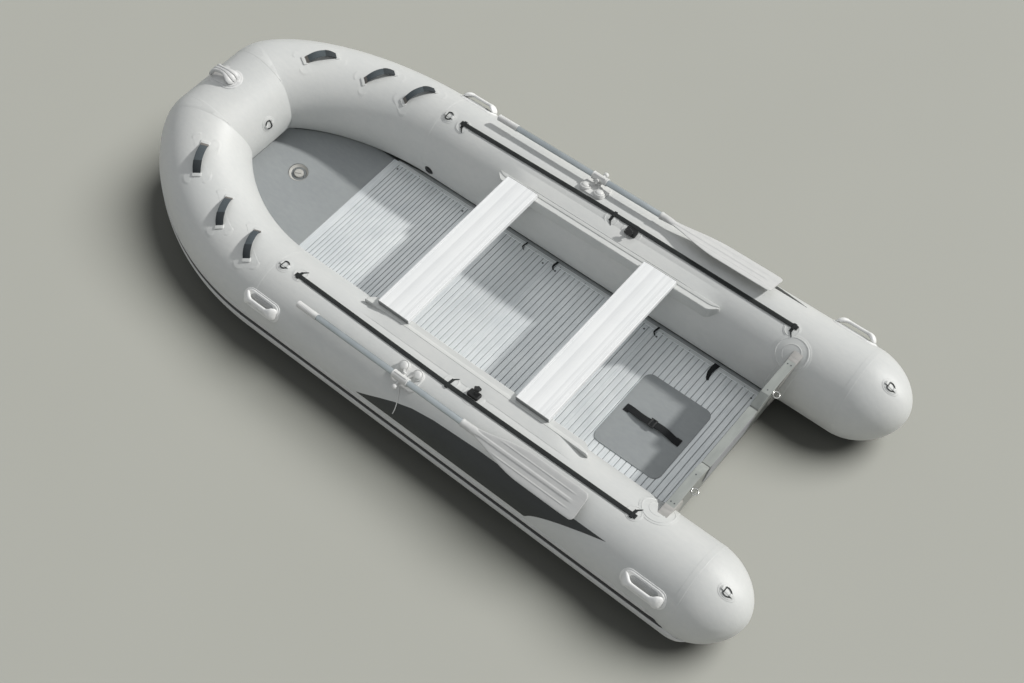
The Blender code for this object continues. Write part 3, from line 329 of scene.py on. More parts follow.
def net(rows, closed=True, capped=True, looped=False):
    """Points and faces of a net through rows of points."""
    rows = np.asarray(rows, float)
    count, across = rows.shape[:2]
    faces = []
    for i in range(count if looped else count - 1):
        near, far = i * across, (i + 1) % count * across
        for j in range(across if closed else across - 1):
            k = (j + 1) % across
            faces.append((near + j, near + k, far + k, far + j))
    if capped and closed and not looped:
        faces.append(tuple(range(across)))
        faces.append(tuple(range((count - 1) * across, count * across)))
    return rows.reshape(-1, 3), faces


def together(*shapes):
    """Several shapes as one."""
    points, faces, start = [], [], 0
    for shape_points, shape_faces in shapes:
        points.append(shape_points)
        faces += [tuple(start + i for i in face) for face in shape_faces]
        start += len(shape_points)
    return np.vstack(points), faces


def finished(name, mesh, finish, node, body, sharp):
    """An object with smooth faces that rides with a body, in place of a node if one is named."""
    mesh.materials.append(finish)
    bm = bmesh.new()
    bm.from_mesh(mesh)
    bmesh.ops.recalc_face_normals(bm, faces=bm.faces)
    bm.to_mesh(mesh)
    bm.free()
    mesh.shade_smooth()
    mesh.set_sharp_from_angle(angle=math.radians(sharp))
    made = bpy.data.objects.new(name, mesh)
    bpy.context.collection.objects.link(made)
    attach(made, body)
    if node:
        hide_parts(node)
    return made


def piece(name, shape, finish, slot, node=None, body="hull", side=1, sharp=32.0, metres=None):
    """A piece made from a shape. Metres along and across it lie under its weave."""
    points, faces = shape
    mesh = bpy.data.meshes.new(name)
    mesh.from_pydata((points * (1, side, 1)).tolist(), [], faces)
    if metres is not None:
        corners = np.empty(len(mesh.loops), int)
        mesh.loops.foreach_get("vertex_index", corners)
        uvs = np.asarray(metres)[corners].ravel()
        mesh.uv_layers.new(name="metres").data.foreach_set("uv", uvs)
    return finished(name, mesh, finish, node, body, sharp)


def pair(name, shape, finish, slot, node=None, body=None, **more):
    """A piece on the port side of the boat, and its mirror image to starboard."""
    made = []
    for side, hand in hands:
        on = (f"{node}_{hand}" if node else None, f"{body}_{hand}" if body else "hull", side)
        made.append(piece(f"{name}_{hand}", shape, finish, slot, *on, **more))
    return made


def mm(*places):
    """Places written in millimetres, in metres."""
    return np.array(places, float) / 1000


def oblong(length, width, corner, steps=6):
    """The outline of a rectangle with rounded corners, from millimetres."""
    points = []
    for i, (x, y) in enumerate(((1, 1), (-1, 1), (-1, -1), (1, -1))):
        for k in range(steps + 1):
            turn = math.pi / 2 * (i + k / steps)
            across = x * (length / 2 - corner) + corner * math.cos(turn)
            points.append((across, y * (width / 2 - corner) + corner * math.sin(turn)))
    return mm(*points)


web_rib_pitch = 0.0016
web_thread_pitch = 0.00144


def woven(name, colour, thread_colour):
    """Webbing: ribs across its length and threads along it, from metres along and across."""
    material, place = new_material(name)
    along, across, _ = place.node("UVMap", {"uv_map": "metres"}).parts()
    ribs = along / web_rib_pitch
    rib = ribs.off_middle() * 2.0
    shifted = across / web_thread_pitch + ribs.maths("FLOOR", ribs) * 0.5
    thread = shifted.off_middle() * 2.0
    weave = (rib + thread) / 2.0
    tone = (weave * 0.6 + place.noise(18.0, 3.0) * 0.4).step(0.25, 0.85)
    shine = 0.95 - weave * 0.25
    fixed = {"Specular IOR Level": 0.3}
    dress(material, tone.blend(colour, thread_colour), shine, weave, 0.0003, fixed)
    return material


line_webbing = woven("line_webbing", (24, 26, 26), (52, 56, 56))
line_height = 0.0045
line_patch_runs = (-0.152, -1.1115, -2.150)
line_keepers = (96.0, 93.0, 95.0)  # degrees round the tube at the three patches
line_stops = (-2.170, *line_patch_runs[::-1], -0.132)
line_angles = (95.0, *line_keepers[::-1], 96.0)
line_section = oblong(22, 3, 1.4, 3)


def line_rows(count):
    """Places along the line, from its fore end, and their angles round the tube."""
    runs = np.linspace(line_stops[-1], line_stops[0], count)
    return runs, np.interp(runs, line_stops, line_angles)


line_path = on_hull(*line_rows(40), line_height)
runs, angles = line_rows(240)
girths = angles[:, None] + np.degrees(line_section[:, 0] / tube_radius)
shape = net(on_hull(runs[:, None], girths, line_height + line_section[:, 1]))
metres = [(-run, across) for run in runs for across in line_section[:, 0]]
lines = pair("lifeline_webbing", shape, line_webbing, "line_webbing", "lifeline", metres=metres)
for line, (side, hand) in zip(lines, hands):
    route = line_path * (1, side, 1)


# Tubes -------------------------------------------------------------------------------------
# The hull is a pair of air tubes joined round the bow. They are glued from panels of white
# fabric coated on both sides, and drawn smooth by the air in them. Each stern ends in a dome,
# whose panels are gathered in a few small pleats low on its outer side.

girth = np.arange(96) * 360 / 96
pleat_angles = (-34.0, -27.0, -20.0, -12.0, -4.0)
pleat_foot_x, pleat_foot_angle = -1.925, -22.0  # where the pleats meet
pleat_depth = 0.0035
fabric_pitch = 0.0011  # of the threads under the coat
low_patch_colour = (120, 118, 110)


def coated_fabric(name, pale, dark, roughness, low_patch_share=0.0):
    """Coated fabric: a tight weave that shows faintly through the coat, and handling marks."""
    material, place = new_material(name)
    x, y, z = place.parts()
    clouds = place.noise(3.1, 4.0)
    scuffs = place.noise(26.0, 5.0, (1, 2.4, 1.6))
    weave = (x / fabric_pitch).off_middle() + ((y + z) / fabric_pitch).off_middle()
    base = (clouds * 0.6 + scuffs * 0.4).step(0.3, 0.72).blend(dark, pale)
    # Darker patches towards the bottom, within 0.16 m of the floor.
    low_patches = (1.0 - z.step(0.02, 0.16)) * scuffs.step(0.35, 0.75) * low_patch_share
    colours = low_patches.blend(base, low_patch_colour)
    shine = roughness - 0.06 + scuffs * 0.12
    relief = weave * 0.12 + scuffs * 0.35 + clouds * 0.5
    dress(material, colours, shine, relief, 0.0012, {"Specular IOR Level": 0.45})
    return material


tube_fabric = coated_fabric("tube_fabric", (206, 207, 205), (199, 201, 200), 0.42, 0.35)
of_tubes = (tube_fabric, "tube_fabric")


def both_ways(rows):
    """Rows of the port half from its stern to the nose, carried on to the starboard stern."""
    return np.concatenate((rows, (rows * (1, -1, 1))[-2::-1]))


def bulge(along, middle, width):
    """A smooth hump of height 1 round a middle."""
    return np.exp(-(((along - middle) / width) ** 2))


bow_rows = np.concatenate((bow_runs[::2], (nose_run - nose_corner / 2, nose_run)))
rows = both_ways(on_hull(bow_rows[:, None], girth))
piece("bow_tube_skin", net(rows), *of_tubes, "tube_bow", sharp=60)
rows = on_hull(np.linspace(cone_start_run, -0.0003, 40)[:, None], girth)
pair("side_tube_skin", net(rows), *of_tubes, "tube", sharp=60)

turns = np.concatenate((np.arange(-60, 25, 0.6), np.arange(25, 300, 3.0)))
runs = line_runs[:61, None]
where = runs + bow_joint_x
ripple = bulge(turns, -20, 45) * np.sin(np.radians(turns * 14))
skin = 0.0012 * bulge(where, -1.88, 0.05) * ripple
for k, top in enumerate(pleat_angles):
    rise = np.clip((where - pleat_foot_x) / (0.075 + 0.012 * (k % 2)), 0, 1)
    middle = pleat_foot_angle + (top - pleat_foot_angle) * (0.25 + 0.75 * rise)
    fade = (1 - rise) * np.clip((where + 1.955) / 0.03, 0, 1)
    skin = skin - pleat_depth * fade * bulge(turns, middle, 1.6 + 1.4 * rise)
pair("stern_cone_skin", net(on_hull(runs, turns, skin)), *of_tubes, "stern_cone", sharp=60)


# Seams -------------------------------------------------------------------------------------
# Where two panels of the tubes meet, a flat tape of the same fabric is glued over the joint:
# round the tube at each end of a panel, and along the inner side of every tube.

tape_lifts = mm(-0.6, 0.7, 0.7, -0.6)


def ring_tape(run):
    """A tape round the tube at one place along it."""
    places = mm(-15, -13, 13, 15)
    return net(on_hull((run + places)[:, None], girth, tape_lifts[:, None]), capped=False)


def long_tape(start, end, angle, width):
    """A tape along the tube, at one angle round it."""
    half = math.degrees(width / 2 / tube_radius)
    turns = angle + np.array((-half, -half + 0.5, half - 0.5, half))
    return net(on_hull(np.linspace(start, end, 60)[:, None], turns, tape_lifts), closed=False)


tapes = [ring_tape(run) for run in (corner_run, 0.0, cone_start_run)]
tapes.append(long_tape(cone_start_run, 0.0, 205.0, 0.034))
tapes.append(long_tape(0.0, nose_run, 207.0, 0.034))
pair("seam_tapes", together(*tapes), *of_tubes)


# Rub strake --------------------------------------------------------------------------------
# Four strips of rubber are glued along the tubes' outer side, from one stern round the bow to
# the other: a thin pale edge, a dark inset, a stout pale fender, and a dark foot under it.


def rubber(name, colour, worn, roughness):
    """Moulded rubber, faintly mottled, with paler streaks."""
    material, place = new_material(name)
    mottle = place.noise(40.0, 4.0)
    streak = place.noise(9.0, 3.0, (1, 6, 6))
    tone = (mottle * 0.5 + streak * 0.5).step(0.35, 0.75)
    dress(material, tone.blend(colour, worn), roughness + mottle * 0.15, mottle, 0.0006)
    return material


dark_rubber = rubber("dark_rubber", (27, 27, 31), (46, 46, 51), 0.5)
pale_rubber = rubber("pale_rubber", (196, 197, 197), (210, 211, 210), 0.45)

# The aft end, its taper's length, and the section in degrees round the tube and millimetres.
edge = ((11.5, -1), (11.3, 1.6), (10.4, 2.6), (6, 2.8), (5.2, 1.8), (5, -1))
inset = ((5, -1), (4.8, 2), (3.6, 2.8), (0, 2.4), (-3.4, 2.8), (-4.4, 2), (-4.6, -1))
fender = ((-3.6, -1), (-3.8, 5), (-4.8, 7.8), (-7.5, 9.6), (-11, 11.8), (-15, 13.4))
fender += ((-18.5, 13.4), (-20, 11), (-20.4, 6), (-20.5, -1))
foot = ((-20, -1), (-20.4, 7), (-22, 9.6), (-26, 9.8), (-29.4, 7.2), (-30.8, 3), (-31, -1))
strake_bands = (
    ("strake_edge", None, pale_rubber, -1.64, 0.05, edge),
    ("strake_inset", None, dark_rubber, -1.70, 0.07, inset),
    ("strake_fender", "rub_strake", pale_rubber, -1.80, 0.12, fender),
    ("strake_foot", None, dark_rubber, -1.76, 0.10, foot),
)
for name, node, finish, aft_x, taper, section in strake_bands:
    turns, lifts = np.array(section).T
    middle, spread = turns.mean(), turns.max() - turns.min()
    aft_run = aft_x - bow_joint_x
    ends = np.linspace(aft_run, aft_run + taper, 10)[:-1]
    runs = np.concatenate((ends, np.linspace(aft_run + taper, 0, 50)[:-1], bow_rows))[:, None]
    left = 1 - np.clip((runs - aft_run) / taper, 0, 1)
    grown = 1 - left**4
    slant = 0.045 * (turns - turns.min()) / spread * left
    heights = -0.001 + (lifts / 1000 + 0.001) * grown
    rows = on_hull(runs + slant, middle + (turns - middle) * grown, heights)
    piece(name, net(both_ways(rows)), finish, "strake_rubber", node)


# Side panels -------------------------------------------------------------------------------
# A long dark panel of the same coated fabric is glued to each side tube's outer face. It
# starts in a point, broadens aft and ends in a swept tip. It is left bare.

panel_fabric = coated_fabric("panel_fabric", (42, 46, 46), (34, 38, 38), 0.38)
panel_tip, panel_turn = -1.3115, -0.9305
panel_low, panel_high = 16.0, 54.0  # degrees round the tube
panel_sweep = 0.62  # how soon the swept tip's lower edge rises
panel_xs = (panel_tip, -0.60, -0.34, -0.22, -0.12, -0.04, 0.04, 0.0925)
panel_tops = (panel_high, 53.0, 50.0, 46.0, 39.0, 31.0, 22.0, panel_low)

xs = np.linspace(panel_xs[-1] - 0.002, panel_tip + 0.001, 150)[:, None]
upper = np.interp(xs, panel_xs, panel_tops)
swept_share = np.clip((panel_turn - xs) / (panel_turn - panel_tip), 0, 1)
lower = panel_low + (panel_high - panel_low) * swept_share**panel_sweep
shares = np.concatenate(((0.0, 0.01), np.linspace(0.05, 0.95, 12), (0.99, 1.0)))
lifts = np.where((shares > 0) & (shares < 1), 0.0008, -0.0005)
rows = on_hull(xs - bow_joint_x, lower + (upper - lower) * shares, lifts)
pair("side_panel", net(rows, closed=False), panel_fabric, "grey_fabric")


# Bow floor ---------------------------------------------------------------------------------
# Ahead of the boards a smooth sheet of grey coated fabric over a board closes the bow. It
# sweeps up to the nose, and a round hole in it gives a hand room to reach the keel's valve.

grey_fabric = coated_fabric("grey_fabric", (152, 156, 157), (143, 147, 149), 0.5)
of_grey = (grey_fabric, "grey_fabric")
floor_top = 0.110
floor_front_x = 1.0203
floor_half = 0.400
bow_floor_rise = 0.092
bow_floor_end_x = 1.5633
hole_x, hole_radius = 1.343, 0.055


def bow_floor_height(x):
    """The sheet's upper face, level with the boards at its aft edge."""
    share = np.clip((x - floor_front_x) / (bow_floor_end_x - floor_front_x), 0, 1.2)
    return floor_top + bow_floor_rise * share**2


def once_round(count):
    """Angles once round a circle, evenly spaced."""
    return np.arange(count) * 2 * math.pi / count


def bow_floor_reach(ask):
    """Reach of the bow floor's edge from the hole's middle, in the directions asked for."""
    edge = []
    for run in np.linspace(0.05, nose_run, 200):
        height = floor_top
        for _ in range(4):
            radius = np.interp(run, line_runs, line_radii)
            middle = np.interp(run, line_runs, line_middles[:, 2])
            sunk = min(max((middle - height) / radius, 0), 1)
            spot = on_hull(run, -180 + math.degrees(math.asin(sunk)), 0.004)
            height = float(bow_floor_height(spot[0])) - 0.006
        if spot[0] > floor_front_x:
            edge.append((spot[0], min(spot[1], floor_half)))
    front = np.column_stack((np.full(60, floor_front_x), np.linspace(0, floor_half, 60)))
    edge = np.vstack((front, edge, (edge[-1][0], 0)))
    edge = np.vstack((edge, (edge * (1, -1))[::-1]))
    turns = np.arctan2(edge[:, 1], edge[:, 0] - hole_x) % (2 * math.pi)
    order = np.argsort(turns)
    reach = np.hypot(edge[:, 0] - hole_x, edge[:, 1])
    return np.interp(ask, turns[order], reach[order], period=2 * math.pi)


turns = once_round(360)
edge_reach = bow_floor_reach(turns)
rows = []
# Shares of the way from the hole to the edge, and drops below the top.
sheet_steps = [(0, 0.012), (0, 0.002), (0.004, 0), (0.1, 0), (0.25, 0), (0.45, 0), (0.7, 0)]
for share, drop in sheet_steps + [(0.9, 0), (0.99, 0), (1, 0.002), (1, 0.012)]:
    reach = hole_radius + (edge_reach - hole_radius) * share
    x = hole_x + reach * np.cos(turns)
    rows.append(np.column_stack((x, reach * np.sin(turns), bow_floor_height(x) - drop)))
piece("bow_floor_sheet", net(rows, looped=True), *of_grey, "bow_floor")


def round_outline(radius, count=64, second=None):
    """A circle, or an ellipse, from millimetres."""
    turns = once_round(count)
    return mm(*zip(radius * np.cos(turns), (second or radius) * np.sin(turns)))


def at_height(outline, height):
    """A flat outline as places at one height."""
    return np.column_stack((outline, np.full(len(outline), height)))


def turned(profile, sides=32):
    """A shape turned about Z from radii and heights in millimetres."""
    return net([at_height(round_outline(max(r, 0.01), sides), h / 1000) for r, h in profile])


def moved(shape, matrix):
    """A shape turned and shifted by a matrix."""
    points, faces = shape
    turn = np.array(matrix.to_3x3())
    return points @ turn.T + np.array(matrix.translation), faces


def shift(x, y, z):
    return Matrix.Translation((x, y, z))


def spin(angle, axis):
    return Matrix.Rotation(angle, 4, axis)


def moulded(name, colour, dark, roughness, grain=900.0):
    """Moulded plastic: a fine spark-eroded grain, with slight flow marks and rubbed places."""
    material, place = new_material(name)
    skin_grain = place.noise(grain, 2.0)
    flow = place.noise(24.0, 3.0, (1, 3, 1))
    tone = (flow * 0.7 + skin_grain * 0.3).step(0.3, 0.7)
    shine = roughness + flow * 0.14
    dress(material, tone.blend(dark, colour), shine, skin_grain * 0.3 + flow, 0.0003)
    return material


pale_plastic = moulded("pale_plastic", (216, 216, 214), (205, 206, 205), 0.33)
dark_plastic = moulded("dark_plastic", (26, 27, 28), (16, 17, 18), 0.35)
valve_plastic = moulded("valve_plastic", (184, 183, 178), (168, 167, 162), 0.4)

hole_height = float(bow_floor_height(hole_x))
rise = float(bow_floor_height(hole_x + 0.01) - bow_floor_height(hole_x - 0.01))
slope = spin(-math.atan2(rise, 0.02), "Y")
rim = ((53.5, -11), (53.5, 0.3), (55, 1), (56.8, 0.8), (57, -1), (56, -11))
piece("valve_hole_rim", moved(turned(rim, 64), shift(hole_x, 0, hole_height) @ slope), *of_grey)
low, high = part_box("keel_valve")
valve_seat = shift((low[0] + high[0]) / 2, 0, low[2] + 0.0075) @ slope
cap = [(0, 0), (33.5, 0), (33.5, 4), (30, 6.5), (26.5, 7), (25.5, 8.5), (25.5, 15)]
cap += [(24, 17.5), (20, 18.5), (0, 18.5)]
lug = net([at_height(oblong(30, 7, 3), height) for height in (0.016, 0.0225)])
valve = together(turned(cap, 48), moved(lug, spin(0.6, "Z")))
valve = moved(valve, valve_seat @ shift(0, 0, -0.004))
piece("keel_valve_body", valve, valve_plastic, "pale_plastic", "keel_valve")
boot = [(0, -12), (36, -12), (47, 3), (53.3, 13), (53.8, 15), (52.6, 15.8), (49.5, 12.5)]
boot = moved(turned(boot + [(43, 6), (37.5, 3), (0, 3)], 56), valve_seat)
piece("keel_valve_boot", boot, valve_plastic, "pale_plastic")


# Floor boards ------------------------------------------------------------------------------
# Four boards of drawn aluminium planking lie across the boat. Each is ribbed against slipping
# and has a plain strip at its joints. Channels with a rolled edge clip the boards together.

boards = (  # the fore and aft end, the plain strip at each, and the ribs' pitch
    (1.0197, 0.4600, 0.050, 0.024, 0.0240),
    (0.4597, -0.0800, 0.024, 0.024, 0.0310),
    (-0.0803, -0.7170, 0.024, 0.024, 0.0310),
    (-0.7173, -1.3506, 0.024, 0.010, 0.0320),
)
board_low = 0.0935
# Painted shade in the bottoms of the floor's grooves.
groove_shade_colour = (112, 118, 120)
groove_section = mm((3, 0), (2, 0.7), (1.7, 3.6), (-1.7, 3.6), (-2, 0.7), (-3, 0))


def drawn_metal(name, pale, dark, metallic, roughness, along, depth=0.00025, grooves_below=None):
    """Metal drawn through a die, with fine lines along one axis. Painted shade darkens its grooves.
    """
    material, place = new_material(name)
    lines = place.noise(7.0, 3.0, [1 if axis == along else 60 for axis in "xyz"])
    clouds = place.noise(5.0, 3.0)
    scratches = place.noise(60.0, 2.0, [1 if axis == along else 14 for axis in "xyz"])
    tone = (lines * 0.45 + clouds * 0.35 + scratches * 0.2).step(0.32, 0.68)
    colours = tone.blend(dark, pale)
    if grooves_below is not None:
        groove_shade = (grooves_below - place.parts()[2]).step(0.0, 0.0006)
        colours = (groove_shade * 0.55).blend(colours, groove_shade_colour)
    shine = roughness + clouds * 0.12 - scratches * 0.08
    dress(material, colours, shine, lines, depth, {"Metallic": metallic})
    return material


pale, dark = (238, 241, 242), (208, 213, 216)
grooved = floor_top - 0.0002
floor_metal = drawn_metal("floor_aluminium", pale, dark, 0.30, 0.36, "y", grooves_below=grooved)

for i, (start, end, front_strip, aft_strip, rib_pitch) in enumerate(boards):
    room = start - end - front_strip - aft_strip
    count = max(round(room / rib_pitch), 1)
    outline = [(start, board_low), (start, floor_top - 0.0008), (start - 0.0008, floor_top)]
    for k in range(count + 1):
        middle = start - front_strip - room / count * k
        outline += [(middle + off, floor_top - drop) for off, drop in groove_section]
    outline += [(end + 0.0008, floor_top), (end, floor_top - 0.0008), (end, board_low)]
    rows = [[(x, y, z) for x, z in outline] for y in np.linspace(-floor_half, floor_half, 9)]
    names = f"floor_board_ribbed_{i + 1}", f"floor_board_{i + 1}"
    piece(names[0], net(rows), floor_metal, "floor_aluminium", names[1], sharp=25)

pale, dark = (228, 230, 231), (206, 210, 212)
channel_metal = drawn_metal("channel_aluminium", pale, dark, 0.4, 0.34, "x")
# The edge bar is dark grey for painted shade: the darker line along the floor's edge beside the
# tube.
edge_shade_metal = drawn_metal("edge_bar_shade", (168, 171, 172), (144, 148, 150), 0.4, 0.42, "x")
section = [(385, 90.2), (405.5, 90.2), (406.3, 91.2), (406.3, 112.2), (405.2, 113.3)]
section += [(403, 113.3), (402.5, 112.5), (398.5, 112.5), (398, 113.3), (392.5, 113.3)]
section += [(392, 112.7), (389.5, 112.7), (389, 113.3), (385.8, 113.3), (385, 112.4)]
section = mm(*section, (385, 110.3), (400.3, 110.3), (400.3, 93.2), (385, 93.2))
rows = [[(x, y, z) for y, z in section] for x in np.linspace(-1.350, 0.9905, 12)]
pair("floor_channel", net(rows), channel_metal, "floor_aluminium", "stringer", sharp=25)

# The bar that closes the floor's edge against the tube: shares of its width, and heights.
section = [(0, 0.0905), (0.5, 0.0905), (0.9, 0.096), (1, 0.106), (0.94, 0.1124), (0.8, 0.113)]
section += [(0.36, 0.113), (0.3, 0.1116), (0.16, 0.1116), (0.1, 0.1128), (0, 0.1122)]
rows = []
for x in (-1.350, -1.0, -0.6, -0.2, 0.2, 0.6, 0.8, 0.9, 0.985):
    wide = 0.0204 - 0.1 * max(x - 0.8, 0)
    rows.append([(x, 0.4066 + wide * share, z) for share, z in section])
pair("floor_edge_bar", net(rows), edge_shade_metal, "floor_aluminium", sharp=25)

steel = drawn_metal("steel", (196, 196, 194), (176, 177, 177), 0.95, 0.22, "x", 0.0001)
rivet_metal = drawn_metal("rivet_metal", (104, 107, 110), (84, 87, 90), 0.6, 0.4, "x", 0.0001)
screw = ((0, -2), (4.2, -2), (4.2, 0.3), (3.6, 1.2), (2, 1.7), (1.9, 0.9), (0, 0.9))


def screw_head(place, size, sides=14):
    """A domed screw head with a small recess, sunk a little into what it holds."""
    return moved(turned(screw, sides), shift(*place) @ Matrix.Scale(size, 4))


screws = []
for x in (0.50, 0.42, -0.04, -0.12, -0.68, -0.755, 0.96, -1.31):
    screws += [screw_head((x, y, floor_top), 1.25) for y in (-0.358, 0.358)]
for x in np.arange(-1.25, 0.95, 0.16):
    screws += [screw_head((x, y, 0.1133), 0.55, 12) for y in (-0.3905, 0.3905)]
piece("floor_screws", together(*screws), rivet_metal, "steel")


# Tank pad ----------------------------------------------------------------------------------
# A pad of grey fabric is glued to the aft boards for a fuel tank. A black web strap over it
# bows up between two sewn ends, with a ladder buckle in its middle.


def pad(outline, levels, crown=0.0):
    """A low form: rings of an outline, each drawn in and raised by millimetres, closed on top."""
    reach = np.abs(outline).max(axis=0)
    rows = []
    for inset, height in mm(*levels):
        ring = outline * (1 - inset / reach)
        rows.append(at_height(ring, height))
    for share in (0.8, 0.6, 0.4, 0.2, 0.02):
        rows.append(at_height(ring * share, height + crown / 1000 * (1 - share**2)))
    return net(rows)


def swept(path, section, sideways, scales=(1, 1), looped=False):
    """A section carried along a path: its first axis lies sideways, its second square to both."""
    ahead = np.gradient(path, axis=0)
    if looped:
        ahead = np.roll(path, -1, 0) - np.roll(path, 1, 0)
    ahead /= np.linalg.norm(ahead, axis=1)[:, None]
    first = sideways - ahead * (ahead @ sideways)[:, None]
    first /= np.linalg.norm(first, axis=1)[:, None]
    second = np.cross(ahead, first)
    scales = np.broadcast_to(scales, (len(path), 2))
    wide = section[None, :, 0, None] * scales[:, None, 0, None] * first[:, None]
    deep = section[None, :, 1, None] * scales[:, None, 1, None] * second[:, None]
    return net(path[:, None] + wide + deep, looped=looped)


def path_metres(path, section):
    """Metres along and across a band, for its weave."""
    return [(arc, across) for arc in arc_lengths(path) for across in section[:, 0]]


pad_x, pad_y = -1.0365, 0.048
shape = pad(oblong(380, 450, 40, 10), ((0, 0.2), (0, 3), (1.2, 4), (4, 4.2)))
piece("tank_pad_sheet", moved(shape, shift(pad_x, pad_y, floor_top)), *of_grey, "tank_pad")

strap_webbing = woven("strap_webbing", (20, 21, 22), (40, 42, 44))
section = oblong(36, 2.6, 1.2, 3)
share = np.linspace(-1, 1, 61)
heights = floor_top + 0.0068 + 0.0135 * np.clip(1 - np.abs(share / 0.94) ** 2.3, 0, None)
path = np.column_stack((pad_x + 0.158 * share, pad_y + 0.004 * np.sin(share * 5), heights))
shape, metres = swept(path, section, (0, 1, 0)), path_metres(path, section)
of_strap = (strap_webbing, "line_webbing")
piece("tank_strap_webbing", shape, *of_strap, "tank_strap", metres=metres)
tab = pad(oblong(30, 40, 4, 4), ((0, 0), (0, 2.6), (1, 3.4)))
bar = pad(oblong(7, 44, 3, 4), ((0, 0), (0, 3.5), (1.5, 4.5)))
rail = pad(oblong(36, 5, 2, 4), ((0, 0), (0, 3.5), (1.2, 4.5)))
buckle = ((tab, -145, 0, 4), (tab, 145, 0, 4), (bar, -10, 0, 20.5), (bar, 13, 0, 20.8))
buckle += ((rail, 1.5, -20.5, 20.3), (rail, 1.5, 20.5, 20.3))
pad_place = np.array((pad_x, pad_y, floor_top))
forms = [moved(form, shift(*(pad_place + mm(*off)))) for form, *off in buckle]
piece("tank_strap_buckle", together(*forms), dark_plastic, "dark_plastic")


# Floor ties --------------------------------------------------------------------------------
# Black web ties hold a paddle or a line along the starboard channel. Each is a short loop
# round the channel with a loose tail.


def smooth_line(points, count):
    """Places evenly spread along a line through a few points."""
    points = np.array(points)
    ask = np.linspace(0, len(points) - 1, count)
    return np.column_stack([np.interp(ask, range(len(points)), column) for column in points.T])


tail_share = np.linspace(0, 1, 29)
narrow = np.where(tail_share < 0.55, 1.0, 1.0 - 0.6 * (tail_share - 0.55) / 0.45)
tie_loop = [(0, -408.5, 100), (0, -409, 112), (-2, -404, 118), (0, -392, 118.5), (3, -380, 117.5)]
tie_tail = ((4, 0.4, 115.5), (-4, 0.8, 114), (-12, 1, 112.8))  # off, share of the tail, height
# Where each tie is along the boat, its width and its tail's length, in millimetres.
tie_places = ((-1080, 30, 70), (-735, 10, 22), (-100, 12, 24), (100, 8, 18))
for i, (x, wide, tail) in enumerate(tie_places):
    stops = tie_loop + [(off, -380 + tail * share, height) for off, share, height in tie_tail]
    path = smooth_line(mm(*stops) + (x / 1000, 0, 0), 29)
    section = oblong(18, 2.2, 1, 2) * (wide / 18, 1)
    shape = swept(path, section, (1, 0, 0), np.column_stack((narrow, np.ones(29))))
    piece(f"floor_tie_{i + 1}", shape, *of_strap, metres=path_metres(path, section))


# Transom -----------------------------------------------------------------------------------
# The transom is a coated board that leans aft between the side tubes. A grey cap rail covers
# its upper edge, which drops in the middle for the motor, and plates on both faces take the
# motor's clamps.


def painted(name, dark, pale, cloud_size, speck_size, stretch, mixed, ramp):
    """Paint on a board: soft clouds along the board and a fine speck."""
    material, place = new_material(name)
    mottle = place.noise(*cloud_size, (1, stretch, 1))
    speck = place.noise(speck_size, 2.0)
    tone = (mottle * mixed + speck * (1.0 - mixed)).step(ramp, 0.7)
    return material, mottle, speck, tone.blend(dark, pale)


colours = (132, 134, 131), (150, 152, 149)
paint, mottle, speck, colour = painted("transom_board", *colours, (14, 4), 420, 0.4, 0.6, 0.35)
dress(paint, colour, 0.42 + mottle * 0.2, speck * 0.5 + mottle, 0.0004)
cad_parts["transom_board"].data.materials[0] = paint
colours = (146, 150, 147), (162, 166, 162)
rail_paint, mottle, speck, colour = painted("transom_rail", *colours, (30, 3), 600, 0.3, 0.7, 0.3)
dress(rail_paint, colour, 0.40 + mottle * 0.15, speck, 0.0002)

transom_top = 0.420
transom_front = bow_joint_x - 2.221
lean = math.radians(9.5)
board_run = 0.036 / math.cos(lean)  # the board's thickness, measured level


def on_transom(x, y, z):
    """A place near the transom: X ahead of its front face."""
    return (transom_front + (transom_top - z) * math.tan(lean) + x, y, z)


section = [(4.2, -15), (4.2, 1.2), (2.8, 3), (-39.3, 3), (-40.7, 1.2), (-40.7, -15)]
section = mm(*section, (-37, -15), (-37, 0.4), (0.4, 0.4), (0.4, -15))
shoulder = ((0.4700, 0.4200), (0.2530, 0.4200), (0.2490, 0.4190), (0.1860, 0.3722))
sill = ((0.1790, 0.3680), (0.06, 0.3680), (-0.06, 0.3680), (-0.1790, 0.3680))
caps = [
    net([[on_transom(x, side * y, z + rise) for x, rise in section] for y, z in stops])
    for side, stops in ((1, shoulder), (-1, shoulder), (1, sill))
]
piece("transom_caps", together(*caps), rail_paint, "transom_board", sharp=20)

holder_rubber = moulded("holder_rubber", (172, 170, 167), (158, 157, 154), 0.5)
blocks = []
# Each holder's reach inboard and outboard of the tube's wall, its top, and its two faces.
holders = ((0.040, -0.002, 0.4245, 0.0068, -0.0432), (0.060, 0.036, 0.4238, 0.0058, -0.0422))
for inner, outer, top, fore, aft in holders:
    rows = []
    for z in (*np.linspace(0.100, top - 0.003, 24), top):
        wall = tube_offset - math.sqrt(tube_radius**2 - (z - tube_radius) ** 2)
        trim = 0.002 if z == top else 0.0
        near, fore_edge, aft_edge = wall - inner + trim, fore - trim, aft + trim
        soft = wall - inner + 0.004
        edges = ((fore_edge, soft), (fore_edge - 0.003, near), (aft_edge + 0.003, near))
        edges += ((aft_edge, soft), (aft_edge, wall - outer), (fore_edge, wall - outer))
        rows.append([on_transom(x, y, z) for x, y in edges])
    blocks.append(net(rows))
pair("transom_holder", together(*blocks), holder_rubber, "transom_board")
rows = []
for angle in np.linspace(121, 213, 40):
    z = tube_radius + tube_radius * math.sin(math.radians(angle))
    run = on_transom(-0.018, 0, z)[0] - bow_joint_x
    rows.append(on_hull(run + mm(-52, -49, 49, 52), angle, mm(-0.5, 1.8, 1.8, -0.5)))
pair("transom_flange", net(rows, closed=False), *of_tubes)


